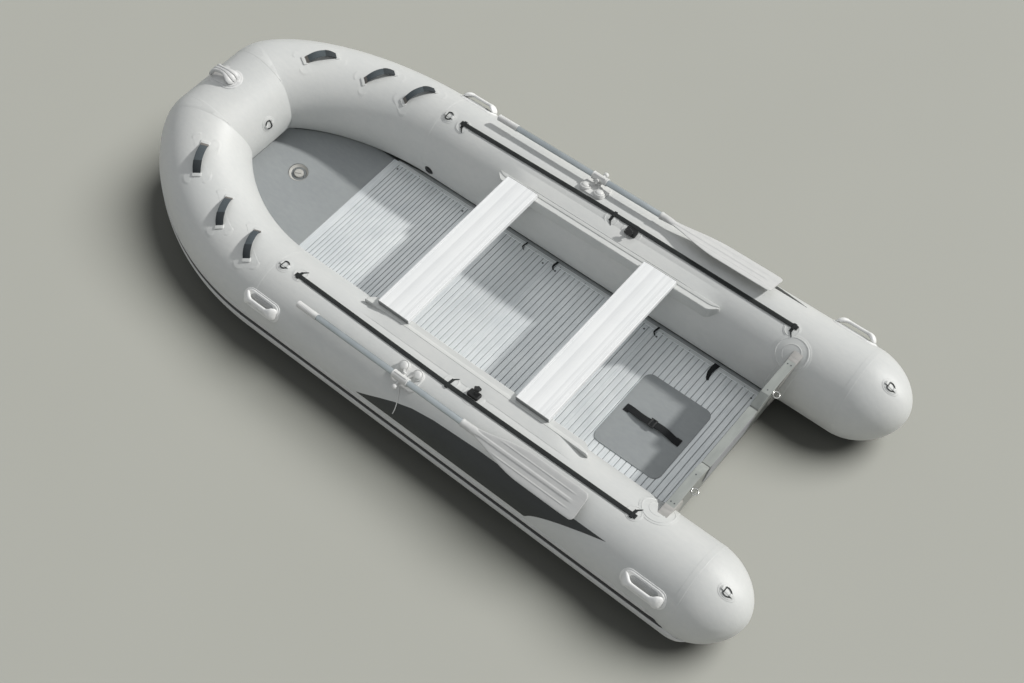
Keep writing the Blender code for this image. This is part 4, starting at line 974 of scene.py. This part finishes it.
def on_tube(shape, run, angle):
    """Wraps a shape round the tube: X runs ahead, Y over the top inboard, and Z outward."""
    points, faces = shape
    girths = angle + np.degrees(points[:, 1] / tube_radius)
    return on_hull(run + points[:, 0], girths, points[:, 2]), faces


steps = ((0, -0.6), (0, 1.2), (1.2, 1.6), (10, 1.6), (11.5, 3.4), (16, 3.6), (18, 1.8))
steps += ((44, 1.8), (45, 3), (48, 3), (49, 1.8))
holder_x, holder_angle = -1.398, 124.0
disc = on_tube(pad(round_outline(92, 96), steps), holder_x - bow_joint_x, holder_angle)
pair("holder_patch", disc, *of_tubes)

plate_paint = moulded("motor_plate", (152, 153, 157), (140, 141, 146), 0.4, 500.0)
plate_steps = ((0, 0), (0, 4.5), (1.5, 6), (12, 6), (13, 5.2))  # drawn in, and off the board
for name, near, way in (("fore", 0.0003, 1), ("aft", -board_run - 0.0003, -1)):
    low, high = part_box(f"motor_pad_{name}")
    wide, tall = (1000 * (high[i] - low[i]) for i in (1, 2))
    rings = [(oblong(wide - 2 * inset, tall - 2 * inset, 12, 5), off) for inset, off in plate_steps]
    rings.append((oblong(wide - 800, tall - 180, 8, 5) * 0.02, 5.2))
    height = (low[2] + high[2]) / 2
    rows = []
    for ring, off in rings:
        x = near + way * off / 1000
        rows.append([on_transom(x, y, height + z) for y, z in ring])
    names = f"motor_plate_{name}", f"motor_pad_{name}"
    piece(names[0], net(rows), plate_paint, "dark_plastic", names[1], sharp=25)

eye_y, eye_height = 0.310, transom_top - 0.062
seat = shift(*on_transom(-board_run - 0.0010, eye_y, eye_height))
seat = seat @ spin(-math.pi / 2 - lean, "Y")
circle = round_outline(16, 28)
loop = np.column_stack((np.zeros(28), circle[:, 0], 0.019 + circle[:, 1]))
eye = swept(loop, round_outline(3.4, 14), (1, 0, 0), looped=True)
foot = turned(((13.8, 0), (13.8, 2.2), (12.5, 3), (7.5, 3), (6.5, 6), (0, 6.2)), 28)
pair("eye_bolt_ring", moved(together(eye, foot), seat), steel, "steel", "eye_bolt")
nut_steps = ((8.5, 0.0), (8.5, 0.0048), (7.8, 0.0054))
nut = net([at_height(round_outline(radius, 6), height) for radius, height in nut_steps])
washer = turned(((12.5, 0), (12.5, 1), (11.8, 1.4), (0, 1.4)), 28)
end = turned(((4, 0), (4, 8), (3.4, 8.8), (0, 8.8)), 16)
front = shift(*on_transom(0.0002, eye_y, eye_height)) @ spin(math.pi / 2 - lean, "Y")
pair("eye_bolt_nut", moved(together(nut, washer, end), front), steel, "steel")
places = ((-0.010, 0.440), (-0.028, 0.440), (-0.018, 0.270))
heads = [screw_head(on_transom(x, y, 0.4230), 0.85) for x, y in places]
pair("transom_screws", together(*heads), rivet_metal, "steel")


# Bottom ------------------------------------------------------------------------------------
# A sheet of grey coated fabric under the boat is glued to both tubes and drawn into a vee by
# the air keel inside. A rubber strip along the keel line saves it from the beach.

bottom_fabric = coated_fabric("bottom_fabric", (150, 153, 154), (138, 142, 144), 0.5, 0.6)


def smoothed(node, name, finish, sharp):
    """A node's own form, as a piece with soft edges and its fabric."""
    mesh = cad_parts[node].data.copy()
    mesh.name = name
    mesh.materials.clear()
    bm = bmesh.new()
    bm.from_mesh(mesh)
    bmesh.ops.remove_doubles(bm, verts=bm.verts, dist=1e-5)
    bm.to_mesh(mesh)
    bm.free()
    return finished(name, mesh, finish, node, "hull", sharp)


bottom = smoothed("hull_bottom", "bottom_sheet", bottom_fabric, 40)
smoothed("keel_tube", "keel_air_tube", grey_fabric, 50)

lowest = {}
for vertex in bottom.data.vertices:
    x, y, z = vertex.co
    if abs(y) < 0.002:
        lowest[round(x, 3)] = min(z, lowest.get(round(x, 3), 1.0))
keel_xs = sorted(lowest)
spread = np.linspace(keel_xs[0] + 0.01, keel_xs[-1] - 0.02, 80)
heights = np.interp(spread, keel_xs, [lowest[x] for x in keel_xs]) - 0.0006
path = np.column_stack((spread, np.zeros(80), heights))
section = mm((-30, 0.8), (-30, 0), (-24, -1.4), (24, -1.4), (30, 0), (30, 0.8))
piece("keel_guard", swept(path, section, (0, 1, 0)), dark_rubber, "strake_rubber")
aft_tape = long_tape(-1.372 - bow_joint_x, 0.0, -122.5, 0.050)
fore_tape = long_tape(0.0, nose_run - 0.12, -122.5, 0.050)
pair("bottom_tapes", together(aft_tape, fore_tape), bottom_fabric, "grey_fabric")


# Bench rails -------------------------------------------------------------------------------
# A moulded rail is glued along the inner side of each tube, and its ledge carries the benches'
# ends. A wing of the tubes' fabric runs smoothly from the tube to the ledge's outer edge.

rail_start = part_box("bench_rail_port")[1][0]
rail_inner, rail_outer = 0.4473, 0.4953
rail_lip = 0.4385
rail_section = (  # a place with no height lies on the tube
    (rail_outer, None),
    (0.480, None),
    (0.464, None),
    (rail_inner, None),
    (rail_inner, 0.4316),
    (0.4503, 0.4346),
    (0.4756, 0.4346),
    (0.4764, 0.4375),
    (0.4786, rail_lip),
    (0.4933, 0.4395),
    (rail_outer, 0.4365),
)
rail_skin = coated_fabric("rail_skin", (214, 215, 213), (206, 208, 206), 0.36)
rail_ends = [(0, 0.60, 0.12), (0.003, 0.85, 0.22), (0.008, 1, 0.36), (0.020, 1, 0.62)]
rail_ends += [(0.034, 1, 0.86), (0.050, 1, 1), (0.4, 1, 1), (0.94, 1, 1), (1.290, 1, 1)]
rail_ends += [(1.306, 1, 0.86), (1.320, 1, 0.62), (1.332, 1, 0.36), (1.337, 0.85, 0.22)]
rail_ends += [(1.340, 0.60, 0.12)]  # off the fore end, share of the height and of the width
wing_ends = [(0.006, 0), (0.03, 0.08), (0.06, 0.3), (0.10, 0.65), (0.15, 0.92), (0.20, 1)]
wing_ends += [(0.67, 1), (1.14, 1), (1.19, 0.92), (1.24, 0.65), (1.28, 0.3), (1.31, 0.08)]
wing_ends += [(1.334, 0)]
wing_inner, wing_outer = 0.4955, 0.563


def tube_side(y):
    """The height of a side tube's upper skin at a distance from the middle of the boat."""
    return tube_radius + math.sqrt(tube_radius**2 - (y - tube_offset) ** 2)


def on_rail(y, z, share):
    """The height at a place, as a share of the way from the tube's skin up to its own."""
    wall = tube_side(y)
    return wall - 0.0005 if z is None else wall + (z - wall) * share


def wing_top(y):
    """The wing's full height, which never sinks into the tube."""
    rise = math.sin((y - wing_inner) / (wing_outer - wing_inner) * math.pi / 2)
    return max(rail_lip + 0.0010 + 0.0030 * rise, tube_side(y) + 0.0004)


rows = []
for off, share, broad in rail_ends:
    section = [(rail_outer + (y - rail_outer) * broad, z) for y, z in rail_section]
    rows.append([(rail_start - off, y, on_rail(y, z, share)) for y, z in section])
pair("bench_rail_strip", net(rows), rail_skin, "pale_plastic", "bench_rail", sharp=40)
rows = []
for off, share in wing_ends:
    across = (wing_inner, 0.505, 0.515, 0.525, 0.535, 0.545, 0.555, wing_outer)
    places = [(y, on_rail(y, wing_top(y), share)) for y in across]
    places += [(y, tube_side(y) - 0.0006) for y in (wing_outer, 0.53, wing_inner)]
    rows.append([(rail_start - off, y, z) for y, z in places])
pair("rail_wing", net(rows), *of_tubes, sharp=40)


# Benches -----------------------------------------------------------------------------------
# Each bench is a plank of white-coated drawn aluminium, with beads along both edges and fine
# flutes between them. Its hollow ends are closed by grey plastic caps.

pale, dark = (242, 243, 243), (232, 234, 235)
bench_metal = drawn_metal("bench_aluminium", pale, dark, 0.06, 0.36, "y", 0.00015)
cap_plastic = moulded("bench_cap", (150, 152, 152), (136, 138, 138), 0.45)
bench_top, bench_deep, bench_half, bench_reach = 463, 28, 95.3, 475  # millimetres
bead, flute = (1.8, 0.8, 1.1), (2.0, 0.6, 0.4)  # half widths above and below, and depth
bench_marks = ((-84.8, bead), (-77.8, bead), (-62, flute), (-54, flute), (-30, flute))
bench_marks += ((34, flute), (77.8, bead), (84.8, bead))

corner = [(bench_half, 3 - bench_deep), (bench_half, -3.5)]
corner += [(bench_half - 1.2, -0.8), (bench_half - 3.5, 0)]
outline = [(-x, z) for x, z in corner]
for at, (wide, narrow, deep) in bench_marks:
    outline += [(at - wide, 0), (at - narrow, -deep), (at + narrow, -deep), (at + wide, 0)]
outline += corner[::-1] + [(bench_half - 3, -bench_deep), (3 - bench_half, -bench_deep)]
cap_steps = ((-3, 0), (-0.8, 0), (0, 1.2), (0, 6), (-1.2, 7))
for name in ("bench_fore", "bench_aft"):
    low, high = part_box(name)
    middle = 500 * (low[0] + high[0])
    ys = (3.1 - bench_reach, -300, -100, 100, 300, bench_reach - 3.1)
    rows = [mm(*((middle + x, y, bench_top + z) for x, z in outline)) for y in ys]
    piece(f"{name}_plank", net(rows), bench_metal, "bench_aluminium", name, name, sharp=18)
    caps = []
    for side in (-1, 1):
        rows = []
        for off, inset in cap_steps:
            shape = oblong(2 * (bench_half - inset), bench_deep - 2 * inset, 4, 4)
            place = mm(middle, side * (bench_reach + off), bench_top - bench_deep / 2)
            rows.append([place + (x, 0, z) for x, z in shape])
        caps.append(net(rows))
    piece(f"{name}_caps", together(*caps), cap_plastic, "pale_plastic", None, name, sharp=30)


# Rowlocks ----------------------------------------------------------------------------------
# Each rowlock is moulded in white plastic: a curved foot glued to the tube, a post under the
# oar's sleeve, and two ringed humps beside it that hold the stowed oar down.


def over_tube(x, angle, reach):
    """A place off the port tube's middle: its Y goes round the tube inboard, its Z outward."""
    flat, tall = math.cos(math.radians(angle)), math.sin(math.radians(angle))
    across = (0, -tall, flat, tube_offset + reach * flat)
    return Matrix(((1, 0, 0, x), across, (0, flat, tall, tube_radius + reach * tall), (0, 0, 0, 1)))


of_plastic = (pale_plastic, "pale_plastic")
oar_frame = over_tube(-0.1185, 68, 0.275)
rowlock_run, rowlock_angle = -0.934, 73.6
hump = [(28.5, -56), (28.5, -40), (27.5, -38), (25.2, -37.2), (24.5, -38.5), (22.5, -38.5)]
hump += [(21.5, -34.5), (18.5, -30.5), (13, -28), (6, -27), (0, -26.8)]
post = [(16.5, -47), (15, -40), (12.5, -37), (12.5, -29), (15, -27.5), (15, -23), (14, -21.6)]
foot_steps = ((0, -0.8), (0, 5), (1.5, 7.5), (6, 9), (8, 8.2), (12, 8.2))
foot = on_tube(pad(oblong(150, 112, 30, 8), foot_steps, 1), rowlock_run, rowlock_angle)
forms = [turned(post + [(0, -21.6)])]
web = pad(oblong(10, 34, 3, 4), ((0, -46), (0, -33), (1, -31.5)))
for way in (-1, 1):
    forms.append(moved(turned(hump, 40), shift(way * 0.042, 0.052, 0)))
    forms.append(moved(web, shift(way * 0.0189, 0.026, 0) @ spin(-0.6 * way, "Z")))
block = together(foot, moved(together(*forms), oar_frame))
pair("rowlock_block", block, *of_plastic, "rowlock", sharp=38)
fine = np.linspace(0, 1, 30)
strip = on_hull(rowlock_run + 0.006 - 0.030 * np.sin(fine * 2.2), 60 - 36 * fine, 0.0016)
pair("rowlock_lanyard", swept(strip, oblong(5, 2.6, 1.2, 3), (1, 0, 0)), *of_plastic)


# Oars --------------------------------------------------------------------------------------
# A blue-grey anodised tube carries a ribbed white grip and a moulded white blade with three
# lengthwise ridges. A white sleeve with a cross pin turns on the rowlock's post.

oar_metal, place = new_material("oar_aluminium")
clouds = place.noise(5.0, 3.0)
grain = place.noise(900.0, 2.0)
tone = (clouds * 0.8 + grain * 0.2).step(0.3, 0.7)
colours = tone.blend((162, 170, 174), (184, 191, 194))
dress(oar_metal, colours, 0.30 + clouds * 0.06, grain, 0.00001, {"Metallic": 0.7})
blade_plastic = moulded("blade_plastic", (204, 204, 203), (196, 197, 196), 0.36)
along_x = spin(math.pi / 2, "Y")
shaft_fore, shaft_aft, ferrule_end, blade_end = 529, -368, -433, -1035  # millimetres
grip_end = 656
blade_shares = (0, 0.05, 0.12, 0.20, 0.30, 0.40, 0.48, 0.90, 1.0)
blade_halves = (0.019, 0.0205, 0.028, 0.040, 0.0545, 0.065, 0.0695, 0.0700, 0.0685)


def blade_row(share):
    """A section of the blade, from its neck at 0 to its squared end at 1."""
    across = np.sin(np.linspace(-math.pi / 2, math.pi / 2, 91))
    past = np.clip((share - 0.965) / 0.035, 0, 1)
    half = np.interp(share, blade_shares, blade_halves) - 0.020 * (1 - np.sqrt(1 - past**2))
    b = across * half
    edge = np.sqrt(np.clip(1 - np.abs(across) ** 8, 0, 1))
    fade = np.clip((0.93 - share) / 0.05, 0, 1)
    fade = fade * fade * (3 - 2 * fade)
    neck = np.clip(1 - share / 0.10, 0, 1) ** 1.5
    spine = (0.0026 + 0.006 * neck) * fade * np.exp(-((b / (0.0080 + 0.006 * neck)) ** 6))
    beside = 0.0013 * fade * np.clip((share - 0.22) / 0.05, 0, 1)
    wings = beside * np.exp(-(((np.abs(b) - 0.035) / 0.0030) ** 4))
    height = 0.0034 * edge + spine + wings
    x = (shaft_aft - 55 + (blade_end - shaft_aft + 55) * share) / 1000
    upper = np.column_stack((np.full(91, x), b, height))
    lower = np.column_stack((np.full(91, x), b[::-1], -height[::-1]))
    return np.vstack((upper, lower[1:-1]))


def pair_on_oar(name, shape, finish, slot, node=None, **more):
    """A pair of pieces that swing with the oars, from a shape in the port oar's own frame."""
    pair(name, moved(shape, oar_frame), finish, slot, node, "oar", **more)


fore, aft = shaft_fore, shaft_aft
bar = [(0, aft + 0.3), (14.2, aft + 0.3), (15, aft + 2), (15, fore - 2), (14.2, fore - 0.3)]
bar = moved(turned(bar + [(0, fore - 0.3)], 48), along_x)
pair_on_oar("oar_tube", bar, oar_metal, "oar_aluminium", "oar_shaft")

half_sleeve = [(15.2, 45), (19, 45), (20.8, 43.5), (20.8, 40), (19.6, 38.5)]
sleeve = turned([(r, -h) for r, h in half_sleeve] + half_sleeve[::-1], 48)
ridge = pad(oblong(70, 8, 3.5, 5), ((0, 15), (0, 21.2), (1.2, 22.5)))
pin = [(4.8, 0), (4.8, 36), (7.5, 37), (12, 39.5), (14.3, 44), (14.8, 48), (14.3, 52)]
pin = turned(pin + [(12, 56.5), (7, 60), (0, 61)])
stub = [(4.8, 0), (4.8, 24), (9, 25.5), (10.5, 29), (9, 33), (4, 35), (0, 35.2)]
quarter = math.pi / 2
places = ((ridge, -0.5), (pin, quarter), (turned(stub, 28), -quarter))
forms = [moved(form, spin(turn, "X")) for form, turn in places]
pair_on_oar("oar_sleeve", together(moved(sleeve, along_x), *forms), *of_plastic)

profile = [(0, fore), (17.2, fore), (17.8, fore + 2), (17.8, fore + 7), (16, fore + 9)]
rib = ((16, 0), (16.9, 1.5), (17.2, 3.2), (16.9, 5), (16, 6.4))
for i in range(13):
    profile += [(radius, fore + 12.5 + 7.8 * i + off) for radius, off in rib]
butt = ((16.6, 10), (17.4, 7), (16.6, 3), (13, 0.8), (6, 0.2), (0, 0.1))
profile += [(radius, grip_end - off) for radius, off in butt]
grip = moved(turned(profile, 36), along_x)
pair_on_oar("oar_handle", grip, *of_plastic, "oar_grip")

shares = (*np.linspace(0, 0.96, 56), *(0.965 + 0.035 * np.sin(np.linspace(0, quarter, 9))))
ferrule = [(aft, 18, 18), (aft - 1, 19.8, 19.8), (aft - 8, 20, 20), (aft - 10, 18.6, 18.6)]
ferrule += [(aft - 30, 18.6, 17), (aft - 50, 19.2, 14), (ferrule_end, 20, 11.8)]
rows = []
for x, wide, deep in ferrule + [(ferrule_end - 20, 17, 9.2)]:
    rows.append([(x / 1000, y, z) for y, z in round_outline(wide, 40, deep)])
paddle = together(net([blade_row(share) for share in shares]), net(rows))
pair_on_oar("oar_paddle", paddle, blade_plastic, "pale_plastic", "oar_blade", sharp=50)


# Line patches ------------------------------------------------------------------------------
# Three round patches with a raised ring are glued to the top of each tube. A black web tie
# from each patch goes round the grab line and holds it.

patch_angles = (99.0, 99.5, 99.0)
patch_steps = ((0, -0.6), (0, 1), (1, 1.4), (6, 1.4), (7.2, 2.8), (9.6, 2.8), (10.8, 1.4))
patch = pad(round_outline(42), (*patch_steps, (24, 1.6), (25.2, 2.8), (27, 2.8)))
patches = [on_tube(patch, *place) for place in zip(line_patch_runs, patch_angles)]
pair("line_patches", together(*patches), *of_tubes)
fine = np.linspace(0, 1, 12)
section, tail_section = oblong(15, 1.8, 0.8, 2), oblong(8, 1.6, 0.7, 2)
ties = []
metres = []
for run, angle, keeper in zip(line_patch_runs, patch_angles, line_keepers):
    stops = ((angle + 4, 0.003), (keeper + 4.2, 0.0045), (keeper + 3.6, 0.0075), (keeper, 0.0082))
    stops += ((keeper - 3.6, 0.0075), (keeper - 4.1, 0.004), (keeper - 3.8, 0.0012))
    path = on_hull(run, *smooth_line(stops, 25).T)
    ties.append(swept(path, section, (1, 0, 0)))
    metres += path_metres(path, section)
    path = on_hull(run - 0.002 - 0.018 * fine, angle + 3.5 + 5.5 * fine, 0.0042 - 0.001 * fine)
    narrow = np.column_stack((1 - 0.5 * fine, np.ones(12)))
    ties.append(swept(path, tail_section, (1, 0, 0.3), narrow))
    metres += path_metres(path, tail_section)
pair("line_ties", together(*ties), line_webbing, "line_webbing", metres=metres)


# D-rings -----------------------------------------------------------------------------------
# Dark wire rings for towing and lashing lie on double round patches. A tab of the tubes'
# fabric over each ring's middle holds it down.

ring_wire = drawn_metal("ring_wire", (58, 60, 60), (40, 42, 42), 0.6, 0.35, "x", 0.0001)
steps = ((0, -0.8), (0, 1), (1, 1.4), (8.5, 1.4), (9, 2.6), (10, 3))
fine = np.linspace(-1, 1, 33)
over = 0.0052 * np.exp(-(((np.abs(fine) - 0.66) / 0.22) ** 4))
path = np.column_stack((0.031 * fine, np.zeros(33), 0.0036 + over))
tab = swept(path, oblong(18, 2.2, 1, 3), (0, 1, 0))
patch = together(pad(round_outline(42.5), steps), tab)
turns = once_round(40)
flat = np.clip(np.cos(turns), -1, 0.62)
path = np.column_stack((0.0205 * flat, 0.0215 * np.sin(turns), np.full(40, 0.0058)))
ring = swept(path, round_outline(3, 12), (0, 0, 1), looped=True)
# Each ring's run ahead of the bow tube's joint, its degrees round the tube, and its side.
ring_places = [(f"fore_{hand}", -0.052, 97.0, side) for side, hand in hands]
ring_places += [(f"aft_{hand}", -2.6553, 90.0, side) for side, hand in hands]
for name, run, angle, side in ring_places + [("bow", nose_run, 169.0, 1)]:
    piece(f"ring_patch_{name}", on_tube(patch, run, angle), *of_tubes, side=side)
    wire = on_tube(ring, run, angle)
    piece(f"ring_wire_{name}", wire, ring_wire, "steel", f"d_ring_{name}", side=side)


# Carry handles -----------------------------------------------------------------------------
# Moulded white rubber handles are glued to the outer shoulders of the tubes. Two broad feet
# rise from an oval foot plate with a ribbed bed, and a thin bar joins them.

handle_rubber = moulded("handle_rubber", (232, 232, 231), (224, 225, 224), 0.34)
# The ribbed bed is real, but its grey is painted shade of the hollow under each handle's bar.
bed_shade_rubber = moulded("bed_shade_rubber", (176, 177, 177), (166, 168, 168), 0.45)
of_handle = (handle_rubber, "pale_plastic")
steps = ((0, -1), (0, 1.2), (0.8, 2.2), (7.5, 2.2), (8, 4.2), (9, 5.2), (14, 5.2), (15, 3.6))
plate = pad(oblong(235, 98, 46, 12), steps)
bed = [pad(oblong(150, 60, 22, 8), ((0, 3), (0, 4.6), (1, 5.2)))]
bar = pad(oblong(3.4, 46, 1.5, 3), ((0, 4.5), (0, 6.2), (0.6, 6.8)))
bed += [moved(bar, shift(at, 0, 0) @ spin(0.35, "Z")) for at in np.arange(-0.056, 0.057, 0.008)]
fine = np.linspace(-1, 1, 61)
reach = np.abs(fine)
height = 0.0060 + 0.0245 * np.clip(1 - ((reach - 0.52) / 0.48).clip(0) ** 2.2, 0, 1)
widths = mm(20, 21, 32, 50, 60, 56, 40)
width = np.interp(reach, (0, 0.48, 0.60, 0.72, 0.86, 0.95, 1.0), widths)
thick = np.interp(reach, (0, 0.50, 0.62, 0.76, 0.90, 1.0), mm(15, 16, 20, 24, 20, 10))
path = np.column_stack((0.100 * fine, np.zeros(61), height))
grip = swept(path, oblong(1000, 1000, 420, 5), (0, 1, 0), np.column_stack((width, thick)))
shape, bed = together(plate, grip), together(*bed)
for name, run, angle in (("fore", -0.077, 39.0), ("aft", -2.364, 35.0)):
    handle = on_tube(shape, run, angle)
    pair(f"carry_grip_{name}", handle, *of_handle, f"carry_handle_{name}", sharp=45)
    pair(f"carry_bed_{name}", on_tube(bed, run, angle), bed_shade_rubber, "pale_plastic")


# Lift straps -------------------------------------------------------------------------------
# Three loops of slate webbing for the hands stand on each shoulder of the bow. Their sewn ends
# go under raised white pads, on a large thin patch.

lift_webbing = woven("lift_webbing", (66, 73, 77), (92, 99, 103))
# The sleeve over each loop's aft third is darker: partly a real sleeve, partly painted shade on
# that slope of the arch.
shaded_webbing = woven("shaded_webbing", (44, 48, 51), (62, 67, 70))
worn_webbing = woven("worn_webbing", (104, 101, 98), (132, 128, 124))
section = oblong(36, 3.6, 1.7, 3)
strap_places = ((0.794, 24.0), (0.443, 41.0), (0.177, 55.0))  # turned to lie parallel
strap_angle = 92.0
fine = np.linspace(-1, 1, 61)
heights = 0.0040 + 0.0275 * np.clip(1 - (np.abs(fine) / 0.95) ** 2.2, 0, 1)
path = np.column_stack((0.088 * fine, np.zeros(61), heights))
wrap, wrap_section = path + (0, 0, 0.0002), section * (1.06, 1.35)
steps = ((0, -0.8), (0, 0.3), (1.2, 0.6), (7, 0.6), (8.4, 1), (10.4, 0.7))
tab = pad(oblong(26, 48, 7, 6), ((0, 0), (0, 3.6), (1.2, 5.2), (2.6, 5.8)), 0.6)
tabs = [moved(tab, shift(along, 0, 0)) for along in (-0.094, 0.094)]
patch = together(pad(oblong(290, 150, 34, 8), steps), *tabs)
bands = (
    ("loop", path, section, lift_webbing, "lift_strap"),
    ("sleeve", wrap[:22], wrap_section, shaded_webbing, None),
    ("end", wrap[54:], wrap_section, worn_webbing, None),
)
for i, (run, turn) in enumerate(strap_places, 1):
    turned_by = spin(math.radians(turn), "Z")
    for name, line, band, finish, node in bands:
        shape = on_tube(moved(swept(line, band, (0, 1, 0)), turned_by), run, strap_angle)
        node = f"{node}_{i}" if node else None
        metres = path_metres(line, band)
        pair(f"lift_{name}_{i}", shape, finish, "strap_webbing", node, metres=metres)
    pair(f"lift_patch_{i}", on_tube(moved(patch, turned_by), run, strap_angle), *of_tubes)


# Bow handle --------------------------------------------------------------------------------
# A stout moulded handle over the nose, for lifting and towing: an oval foot plate in two steps,
# and a grip with lengthwise ridges and broad rounded ends.

steps = ((0, -1.2), (0, 1.6), (1, 2.6), (11, 2.6), (11.6, 5.2), (12.8, 6.6), (20, 7))
plate = pad(oblong(128, 206, 60, 14), steps, 1)
fine = np.linspace(-1, 1, 61)
reach = np.abs(fine)
height = 0.0080 + 0.0310 * np.clip(1 - ((reach - 0.34) / 0.64).clip(0) ** 1.9, 0, 1)
width = np.interp(reach, (0, 0.30, 0.50, 0.72, 0.9, 1.0), mm(42, 46, 60, 78, 74, 48))
thick = np.interp(reach, (0, 0.6, 0.9, 1.0), mm(19, 19, 16, 8))
side_one = [(0.42, -0.42), (0.5, -0.2), (0.5, 0.2), (0.42, 0.40), (0.27, 0.5), (0.21, 0.42)]
side_one += [(0.17, 0.08), (0.13, 0.42), (0.07, 0.5)]
section = [(-0.5, -0.2), (-0.42, -0.42), (-0.3, -0.5), (0.3, -0.5), *side_one]
section = np.array(section + [(-x, y) for x, y in side_one[:1:-1]])
path = np.column_stack((np.zeros(61), 0.077 * fine, height))
grip = swept(path, section, (-1, 0, 0), np.column_stack((width, thick)))
bow_rubber = moulded("bow_rubber", (212, 212, 211), (200, 201, 201), 0.38)
handle = on_tube(together(plate, grip), nose_run, 80.0)
piece("bow_grip", handle, bow_rubber, "pale_plastic", "bow_handle", sharp=45)


# Inflation valves --------------------------------------------------------------------------
# A black push valve with a screwed cap is welded into the inner side of each bow shoulder. The
# cap has a knurled edge and a bar across it, and the valve stands on a thin round patch.

of_valve = (dark_plastic, "dark_plastic")
cap = [(27, -1), (27, 2.2), (25.5, 3.4), (21.5, 3.8), (20.5, 3), (19.5, 3), (19, 7), (17.8, 8.6)]
handle = pad(oblong(30, 5, 2.2, 4), ((0, 8), (0, 11.2), (1, 12)))
forms = [turned(cap + [(12, 9), (0, 9)], 48), handle]
knurl = pad(oblong(1.8, 2.8, 0.8, 3), ((0, 3), (0, 7.4)))
forms += [moved(knurl, spin(turn, "Z") @ shift(0.0192, 0, 0)) for turn in once_round(18)]
valve_place = (-0.056, 184.0)
pair("push_valve", on_tube(together(*forms), *valve_place), *of_valve, "inflation_valve")
patch = pad(round_outline(36), ((0, -0.6), (0, 0.8), (1, 1.2), (8, 1.4)))
pair("valve_patch", on_tube(patch, *valve_place), *of_tubes)


# Accessory mounts --------------------------------------------------------------------------
# A black moulded socket for a rod holder or a lamp stands on a round patch on each tube. A
# lobed knob on a leaning neck locks it.

mount_x, mount_angle = -0.4235, 102.0
knob_profile = ((4, -6.5), (13, -6.5), (16.5, -4.5), (17, 2.5), (15.5, 5.5), (11, 6.6))
rows = []
for radius, height in knob_profile + ((4, 6), (0.5, 6)):
    swell = 1 + 0.11 * np.cos(5 * once_round(60)) * (radius / 17)
    rows.append(at_height(round_outline(radius, 60) * swell[:, None], height / 1000))
knob = moved(net(rows), shift(0, 0, 0.0385))
steps = ((0, -4), (0, 12.5), (1.2, 15), (4, 16), (5, 15), (8, 15))
socket = pad(oblong(62, 40, 7, 6), steps)
neck = turned(((11, 12), (11, 18), (8.5, 22), (7.8, 32), (0, 32)), 24)
head = moved(together(neck, knob), shift(-0.004, 0.004, 0) @ spin(-0.30, "X"))
mount = moved(together(socket, head), over_tube(mount_x, mount_angle, tube_radius))
pair("mount_socket", mount, *of_valve, "accessory_mount")
steps = ((0, -0.6), (0, 0.8), (1, 1.2), (6, 1.2), (6.8, 2), (8.4, 2), (9.2, 1.2))
patch = pad(round_outline(58, 80), steps)
pair("mount_patch", on_tube(patch, mount_x - bow_joint_x, mount_angle), *of_tubes)
